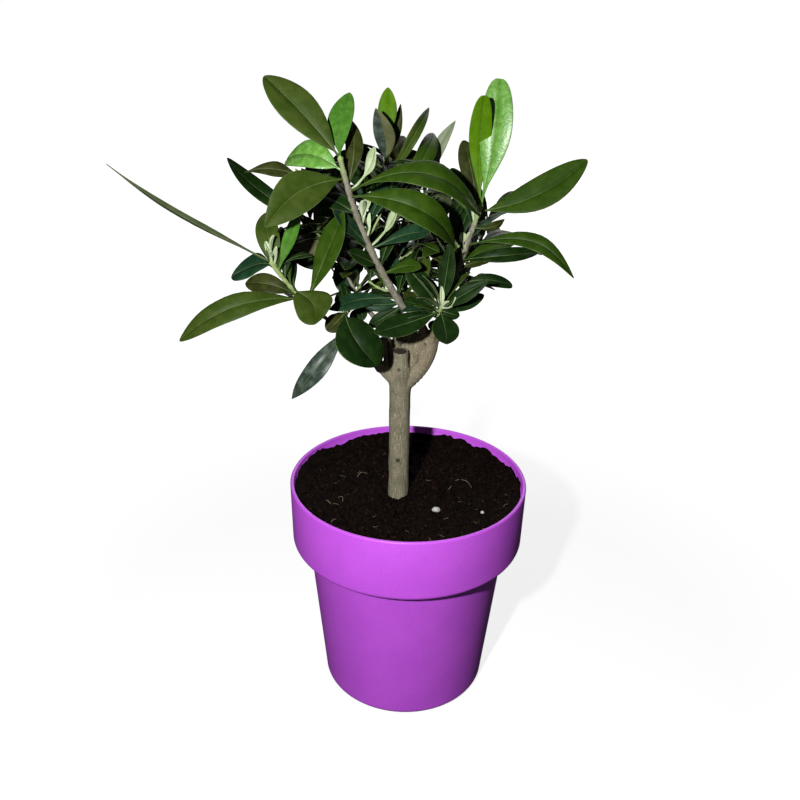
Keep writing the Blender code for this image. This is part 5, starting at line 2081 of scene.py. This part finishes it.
@dataclass
class Soil:
    """The soil: a turned filling with a rough top, and crumbs, fibres and white grains on it."""

    pot: Pot
    level: float = SOIL_LEVEL
    drawn_higher: float = 0.0018
    dip: float = 0.0020
    rise: float = 0.0062
    mound: float = 0.0016
    level_radius: float = 0.018
    dip_radius: float = 0.046
    edge_curve: float = 1.5
    rings: int = 84
    sides: int = 200
    lumps: float = 0.0032
    lump_scales: Pair = (95, 230)
    lump_shares: Pair = (0.65, 0.45)
    relief: float = 0.0020
    relief_scales: Pair = (420, 1100)
    relief_fine: float = 0.5
    ragged: float = 0.0022
    ragged_scale: float = 60
    wobble: float = 0.0016
    wobble_scale: float = 1400.0
    crumb_shapes: tuple[Place, Place] = ((0.6, 0.6, 0.5), (1.5, 1.2, 0.9))
    fibre_tilt: float = 0.5
    fibre_sweep: float = 1.6
    fibre_share: float = 0.045
    fibre_lift: float = 0.0006
    crumbs: Strewn = Strewn("soil_crumbs", 70000.0, 0.0004, 0.0014, 5)
    clods: Strewn = Strewn("soil_clods", 9000.0, 0.0012, 0.0026, 6)
    fibres: Strewn = Strewn("soil_fibres", 2600.0, 0.0008, 0.0030, 9, spread=1.0)
    grain_shape: Place = (1.15, 0.85, 0.8)
    grain_lift: float = 0.55
    grain_rough: float = 0.18
    grain_scale: float = 900
    grain_seed: int = 8
    grain_variety: float = 9
    strand_lifts: Pair = (0.0006, 0.0008)
    strand_radii: Pair = (0.00015, 0.00011)
    strand_bows: Pair = (-0.16, 0.12)
    strand_arch: float = 0.0016
    grains: tuple[Place, ...] = (
        (0.0152, -0.0212, 0.0019), (0.0402, -0.0182, 0.0010), (0.0270, -0.0150, 0.0004),
    )
    strands: tuple[tuple[Pair, Pair], ...] = (
        ((-0.0452, -0.0100), (-0.0420, -0.0135)),
        ((-0.0386, -0.0068), (-0.0354, -0.0150)),
        ((-0.0403, -0.0325), (-0.0379, -0.0295)),
        ((0.0268, 0.0136), (0.0355, 0.0031)),
        ((0.0225, 0.0030), (0.0250, 0.0062)),
        ((-0.0290, 0.0120), (-0.0235, 0.0170)),
    )

    def edge_radius(self) -> float:
        """The radius of the soil's top edge, just clear of the wall."""
        pot = self.pot
        foot = pot.height - pot.collar_height
        up = (self.level - foot) / pot.collar_height
        wall = pot.collar_foot_radius + (pot.rim_radius - pot.collar_foot_radius) * up - pot.wall
        return wall - GAP

    def top(self, radius: float) -> float:
        """The height of the smooth top at a radius: a low mound, a shallow dip, then up to the wall."""
        level = self.level + self.drawn_higher
        if radius <= self.level_radius:
            return level + self.mound * (1 - radius / self.level_radius)
        if radius <= self.dip_radius:
            share = (radius - self.level_radius) / (self.dip_radius - self.level_radius)
            return level - self.dip * share
        share = (radius - self.dip_radius) / (self.edge_radius() - self.dip_radius)
        return level - self.dip + (self.dip + self.rise - self.drawn_higher) * share ** self.edge_curve

    def rough_top(self, x: float, y: float) -> float:
        """How far the top stands over its smooth shape."""
        place = Vector((x, y, 0.3))
        lump = sum(noise.noise(place * scale) * share
                   for scale, share in zip(self.lump_scales, self.lump_shares))
        coarse, fine = self.relief_scales
        crumb = abs(noise.noise(place * coarse)) + self.relief_fine * noise.noise(place * fine)
        edge = max(0.0, math.hypot(x, y) - self.dip_radius) / (self.edge_radius() - self.dip_radius)
        ragged = self.ragged * edge * noise.noise(place * self.ragged_scale)
        return self.lumps * lump + self.relief * crumb + ragged

    def surface(self, x: float, y: float, lift: float) -> Vector:
        """The point at a height over the rough top."""
        return Vector((x, y, self.top(math.hypot(x, y)) + self.rough_top(x, y) + lift))

    def filling(self, finish: Material) -> Item:
        """The closed body of the soil."""
        pot = self.pot
        floor = pot.floor + GAP
        ledge = pot.height - pot.collar_height + pot.wall + GAP
        outline = [
            (pot.body_foot_radius - pot.wall - 2 * GAP, floor),
            (pot.body_top_radius - pot.wall - GAP, ledge),
            (pot.collar_foot_radius - pot.wall - GAP, ledge),
        ]
        walls = len(outline)
        radii = [self.edge_radius() * (1 - step / self.rings) for step in range(self.rings)]
        outline += [(radius, self.top(radius)) for radius in radii]
        points = [Vector((0, 0, floor))]
        for number, (radius, height) in enumerate(outline):
            for side in range(self.sides):
                angle = 2 * math.pi * (side + 0.5 * (number % 2)) / self.sides
                x = radius * math.cos(angle)
                y = radius * math.sin(angle)
                lift = self.rough_top(x, y) if number >= walls else 0.0
                points.append(Vector((x, y, height + lift)))
        points.append(self.surface(0, 0, 0))
        faces: Faces = []
        last = 1 + self.sides * (len(outline) - 1)
        for side in range(self.sides):
            after = (side + 1) % self.sides
            faces += [(0, 1 + after, 1 + side), (len(points) - 1, last + side, last + after)]
            for low in range(1, last, self.sides):
                high = low + self.sides
                faces.append((low + side, low + after, high + after, high + side))
        return add_piece("soil_filling", (points, faces), [finish])

    def scatter_net(self, name: str) -> tuple[Net, Socket, Socket]:
        """Start a Geometry Nodes tree that scatters things over the top of the soil, clear of the wall.

        Args:
            name: The tree's name.

        Returns:
            The net, the points and the size drawn for each of them.
        """
        net = geometry_net(name, {
            "Soil": "Geometry", "Density": 10000.0, "Smallest": 0.0004, "Largest": 0.0014, "Lowest": 0.11,
            "Reach": 0.05, "Seed": 5,
        })
        start = net.start
        place = net.add("GeometryNodeInputPosition").outputs[0]
        height = net.add("ShaderNodeSeparateXYZ", {0: place}).outputs[2]
        out = net.length(net.vector("MULTIPLY", place, (1.0, 1.0, 0.0)))
        on_top = net.add("FunctionNodeBooleanMath", {
            0: net.compare(height, "GREATER_THAN", start["Lowest"]),
            1: net.compare(out, "LESS_THAN", start["Reach"]),
        }, operation="AND").outputs[0]
        points = net.add("GeometryNodeDistributePointsOnFaces", {
            "Mesh": start["Soil"], "Selection": on_top, "Density": start["Density"], "Seed": start["Seed"],
        })
        return net, points.outputs[0], net.chance(start["Smallest"], start["Largest"], 3)

    def crumb_tree(self) -> Tree:
        """The Geometry Nodes tree that scatters crumbs over the top of the soil."""
        net, points, size = self.scatter_net("crumb_scatter")
        ball = net.add("GeometryNodeMeshIcoSphere", {"Radius": 1.0, "Subdivisions": 1})
        stretch = net.chances(*self.crumb_shapes, 6)
        placed = net.add("GeometryNodeInstanceOnPoints", {
            "Points": points, "Instance": ball.outputs[0],
            "Rotation": net.chances((0, 0, 0), (FULL_TURN,) * 3, 4), "Scale": net.scaled(stretch, size),
        })
        loose = net.add("GeometryNodeRealizeInstances", {"Geometry": placed.outputs[0]})
        place = net.add("GeometryNodeInputPosition").outputs[0]
        cloud = net.add("ShaderNodeTexNoise", {"Vector": place, "Scale": self.wobble_scale}).outputs["Color"]
        offset = net.scaled(net.vector("SUBTRACT", cloud, (0.5, 0.5, 0.5)), self.wobble)
        return net.dress(net.shifted(loose, offset))

    def fibre_tree(self) -> Tree:
        """The Geometry Nodes tree that strews short bent fibres over the top of the soil."""
        net, points, size = self.scatter_net("fibre_scatter")
        tilt = self.fibre_tilt
        bow = net.add("GeometryNodeCurveArc", {
            "Resolution": 6, "Radius": 1.0, "Sweep Angle": self.fibre_sweep,
        })
        line = net.add("GeometryNodeCurvePrimitiveCircle", {"Resolution": 3, "Radius": 1.0})
        strand = net.add("GeometryNodeCurveToMesh", {
            "Curve": bow.outputs[0], "Profile Curve": line.outputs[0], "Scale": self.fibre_share,
            "Fill Caps": True,
        })
        placed = net.add("GeometryNodeInstanceOnPoints", {
            "Points": points, "Instance": strand.outputs[0],
            "Rotation": net.chances((-tilt, -tilt, 0), (tilt, tilt, FULL_TURN), 4),
            "Scale": net.scaled((1.0, 1.0, 1.0), size),
        })
        return net.dress(net.add("GeometryNodeTranslateInstances", {
            "Instances": placed.outputs[0], "Translation": (0, 0, self.fibre_lift), "Local Space": False,
        }))

    def scatter(self, kind: Strewn, filling: Item, tree: Tree,
                finish: Material) -> None:
        """Scatter small things over the filling, clear of the wall, as a piece of their own.

        Args:
            kind: What is scattered.
            filling: The body of the soil.
            tree: The Geometry Nodes tree that makes and places them.
            finish: Their finish.
        """
        piece = new_object(kind.name, filling.data.copy())
        run_nodes(piece, tree, {
            "Density": kind.density, "Smallest": kind.smallest, "Largest": kind.largest, "Seed": kind.seed,
            "Lowest": self.level - 2 * self.dip - self.lumps,
            "Reach": self.edge_radius() - kind.spread * kind.largest - self.wobble / 2, "Finish": finish,
        })
        seat(piece)

    def grain(self, x: float, y: float, radius: float, seed: float) -> Shape:
        """One white grain: a ball, a little flattened and uneven."""
        ball = bmesh.new()
        bmesh.ops.create_icosphere(ball, subdivisions=3, radius=radius)
        middle = self.surface(x, y, radius * self.grain_lift)
        points = []
        for vertex in ball.verts:
            rough = noise.noise(vertex.co * self.grain_scale + Vector((seed, 0, 0)))
            points.append(middle + vertex.co * Vector(self.grain_shape) * (1 + self.grain_rough * rough))
        faces = [tuple(vertex.index for vertex in face.verts) for face in ball.faces]
        ball.free()
        return points, faces

    def strand(self, number: int) -> Shape:
        """One long root or straw, bowed to one side or the other."""
        start, end = [self.surface(*place, lift)
                      for place, lift in zip(self.strands[number], self.strand_lifts)]
        run = end - start
        bow = Vector((-run.y, run.x, 0)) * self.strand_bows[number % 2] + Vector((0, 0, self.strand_arch))
        return tube(Limb(start, end, *self.strand_radii, bow=bow, sides=7, steps=16))

    def build(self, finish: Material, crumb: Material, fibre: Material, grain: Material) -> None:
        """Build the soil and what lies on it.

        Args:
            finish: The filling's finish.
            crumb: The crumbs' finish.
            fibre: The fibres' finish.
            grain: The white grains' finish.
        """
        filling = self.filling(finish)
        crumb_tree = self.crumb_tree()
        self.scatter(self.crumbs, filling, crumb_tree, crumb)
        self.scatter(self.clods, filling, crumb_tree, finish)
        self.scatter(self.fibres, filling, self.fibre_tree(), fibre)
        strands = joined(self.strand(number) for number in range(len(self.strands)))
        seat(add_piece("soil_strands", strands, [fibre]))
        dice = random.Random(self.grain_seed)
        grains = joined(self.grain(*place, dice.uniform(0, self.grain_variety)) for place in self.grains)
        seat(add_piece("white_grains", grains, [grain]))
        seat(filling, ["soil"])


@dataclass
class Studio:
    """Camera, pale floor and soft light, as the photograph's viewpoint needs them."""

    view: Viewpoint
    nearest: float = 0.01
    farthest: float = 50
    floor_size: float = 120.0
    floor_shade: float = 0.26
    # Floor glow near the pot and far off, and the radii between them: the dimmer glow near the pot is
    # painted shade
    floor_glow_shaded_near: Pair = (0.80, 1.0)
    glow_shade_radii: Pair = (0.20, 0.55)
    bounce: float = 0.06
    fill: float = 0.045
    key: float = 13.0
    key_radius: float = 0.010
    key_place: Place = (-0.100, -0.430, 0.410)
    rear: float = 14.0
    rear_size: float = 1.5
    rear_place: Place = (0.300, 1.450, 0.900)
    rear_aim: Place = (0.0, 0.0, 0.200)

    def camera(self) -> None:
        """Place the camera."""
        right, up, forward = self.view.axes()
        data = bpy.data.cameras.new("camera")
        data.lens = self.view.lens
        data.sensor_width = self.view.sensor
        data.clip_start = self.nearest
        data.clip_end = self.farthest
        item = new_object("camera", data)
        turned = Matrix((right, up, -forward)).transposed().to_4x4()
        turned.translation = Vector(self.view.eye)
        item.matrix_world = turned
        bpy.context.scene.camera = item

    def floor(self) -> None:
        """Lay the pale floor, which looks white but throws little light back up; its glow is dimmed close to
        the pot as painted shade round the base and is full farther out.
        """
        half = self.floor_size / 2
        mesh = bpy.data.meshes.new("floor")
        corners = [(-half, -half, 0), (half, -half, 0), (half, half, 0), (-half, half, 0)]
        mesh.from_pydata(corners, [], [(0, 1, 2, 3)])
        made, net, shader = new_finish("floor_paper")
        away = net.length(net.add("ShaderNodeTexCoord").outputs["Object"])
        # Weaker glow near the pot: painted shade round its base
        glow = net.add("ShaderNodeMapRange", {0: away, 1: self.glow_shade_radii[0], 2: self.glow_shade_radii[1],
                                              3: self.floor_glow_shaded_near[0], 4: self.floor_glow_shaded_near[1]}).outputs[0]
        net.feed(shader, {
            "Base Color": opaque((self.floor_shade,) * 3), "Roughness": 0.9, "Specular IOR Level": 0.0,
            "Emission Color": opaque((1, 1, 1)), "Emission Strength": glow,
        })
        dim = net.add("ShaderNodeBsdfDiffuse", {"Color": opaque((self.bounce,) * 3)})
        seen = net.add("ShaderNodeLightPath").outputs["Is Camera Ray"]
        mixed = net.add("ShaderNodeMixShader", {0: seen, 1: dim.outputs[0], 2: shader.outputs[0]})
        net.feed(net.tree.nodes["Material Output"], {"Surface": mixed.outputs[0]})
        mesh.materials.append(made)
        new_object("floor", mesh)

    def room(self) -> None:
        """Make the room pale to look at and dim as a light."""
        world = bpy.data.worlds.new("room")
        world.use_nodes = True
        net = Net(world.node_tree)
        seen = net.add("ShaderNodeLightPath").outputs["Is Camera Ray"]
        strength = net.add("ShaderNodeMapRange", {0: seen, 3: self.fill, 4: 1.0}).outputs[0]
        net.feed(world.node_tree.nodes["Background"], {"Color": opaque((1, 1, 1)), "Strength": strength})
        bpy.context.scene.world = world

    def lights(self) -> None:
        """Hang the near lamp beside the camera and a soft weak one behind the plant."""
        lamp = bpy.data.lights.new("lamp", "POINT")
        lamp.energy = self.key
        lamp.shadow_soft_size = self.key_radius
        new_object("lamp", lamp).location = self.key_place
        panel = bpy.data.lights.new("panel", "AREA")
        panel.energy = self.rear
        panel.size = self.rear_size
        behind = new_object("panel", panel)
        behind.location = self.rear_place
        heading = Vector(self.rear_aim) - Vector(self.rear_place)
        behind.rotation_euler = heading.to_track_quat("-Z", "Y").to_euler()
        behind.visible_camera = False

    def build(self) -> None:
        """Set up camera, floor, room and lights, with plain colours."""
        bpy.context.scene.view_settings.view_transform = "Standard"
        self.camera()
        self.floor()
        self.room()
        self.lights()


SOIL_FINISH = SoftFinish("soil", srgb(8, 4, 3), srgb(22, 13, 9), (0.90, 0.98), 420.0, 1900.0, 0.0002, 0.05)
CRUMB_FINISH = SoftFinish("soil_crumb", srgb(7, 4, 3), srgb(40, 24, 16), (0.88, 0.98), 560.0, 2400.0,
                          0.0002, 0.05)
FIBRE_FINISH = SoftFinish("soil_fibre", srgb(112, 98, 80), srgb(140, 128, 108), (0.7, 0.85), 300.0)
GRAIN_FINISH = SoftFinish("white_grain", srgb(186, 186, 180), srgb(164, 162, 154), (0.75, 0.9), 600.0)
POT_FINISH = SoftFinish("purple_plastic", srgb(198, 88, 226), srgb(193, 84, 222), (0.42, 0.50), 40.0, 1600.0,
                        0.000006, 0.35)


def main() -> None:
    """Build every sub-assembly in order and dress it."""
    logging.basicConfig(level=logging.INFO, format="%(name)s %(message)s")
    mottle = mottle_group()
    pot_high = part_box("pot")[1]
    pot = Pot(rim_radius=pot_high.x, height=pot_high.z)
    pot.build(POT_FINISH.make(mottle))
    Soil(pot).build(SOIL_FINISH.make(mottle), CRUMB_FINISH.make(mottle), FIBRE_FINISH.make(mottle),
                    GRAIN_FINISH.make(mottle))
    boughs = {name: make_bough(name) for name in BOUGHS}
    stems = {name: make_stem(shoot, boughs) for name, shoot in SHOOTS.items()}
    crown = place_leaves(stems, boughs)
    LOG.info("leaves: %d", sum(len(kept) for kept in crown.kept.values()))
    LOG.info("side twigs: %d", sum(len(sprigs) for sprigs in crown.sprigs.values()))
    bark = BarkFinish().make()
    Bark(crown.drawn, boughs).build(bark)
    view = Viewpoint()
    foliage = Foliage(crown, view)
    Twigs(crown, foliage).build(replace(BarkFinish(), name="twig_bark", base=srgb(116, 112, 97),
                                        patch=srgb(134, 131, 116)).make())
    foliage.dress(mottle)
    foliage.build()
    Studio(view).build()


if __name__ == "__main__":
    main()
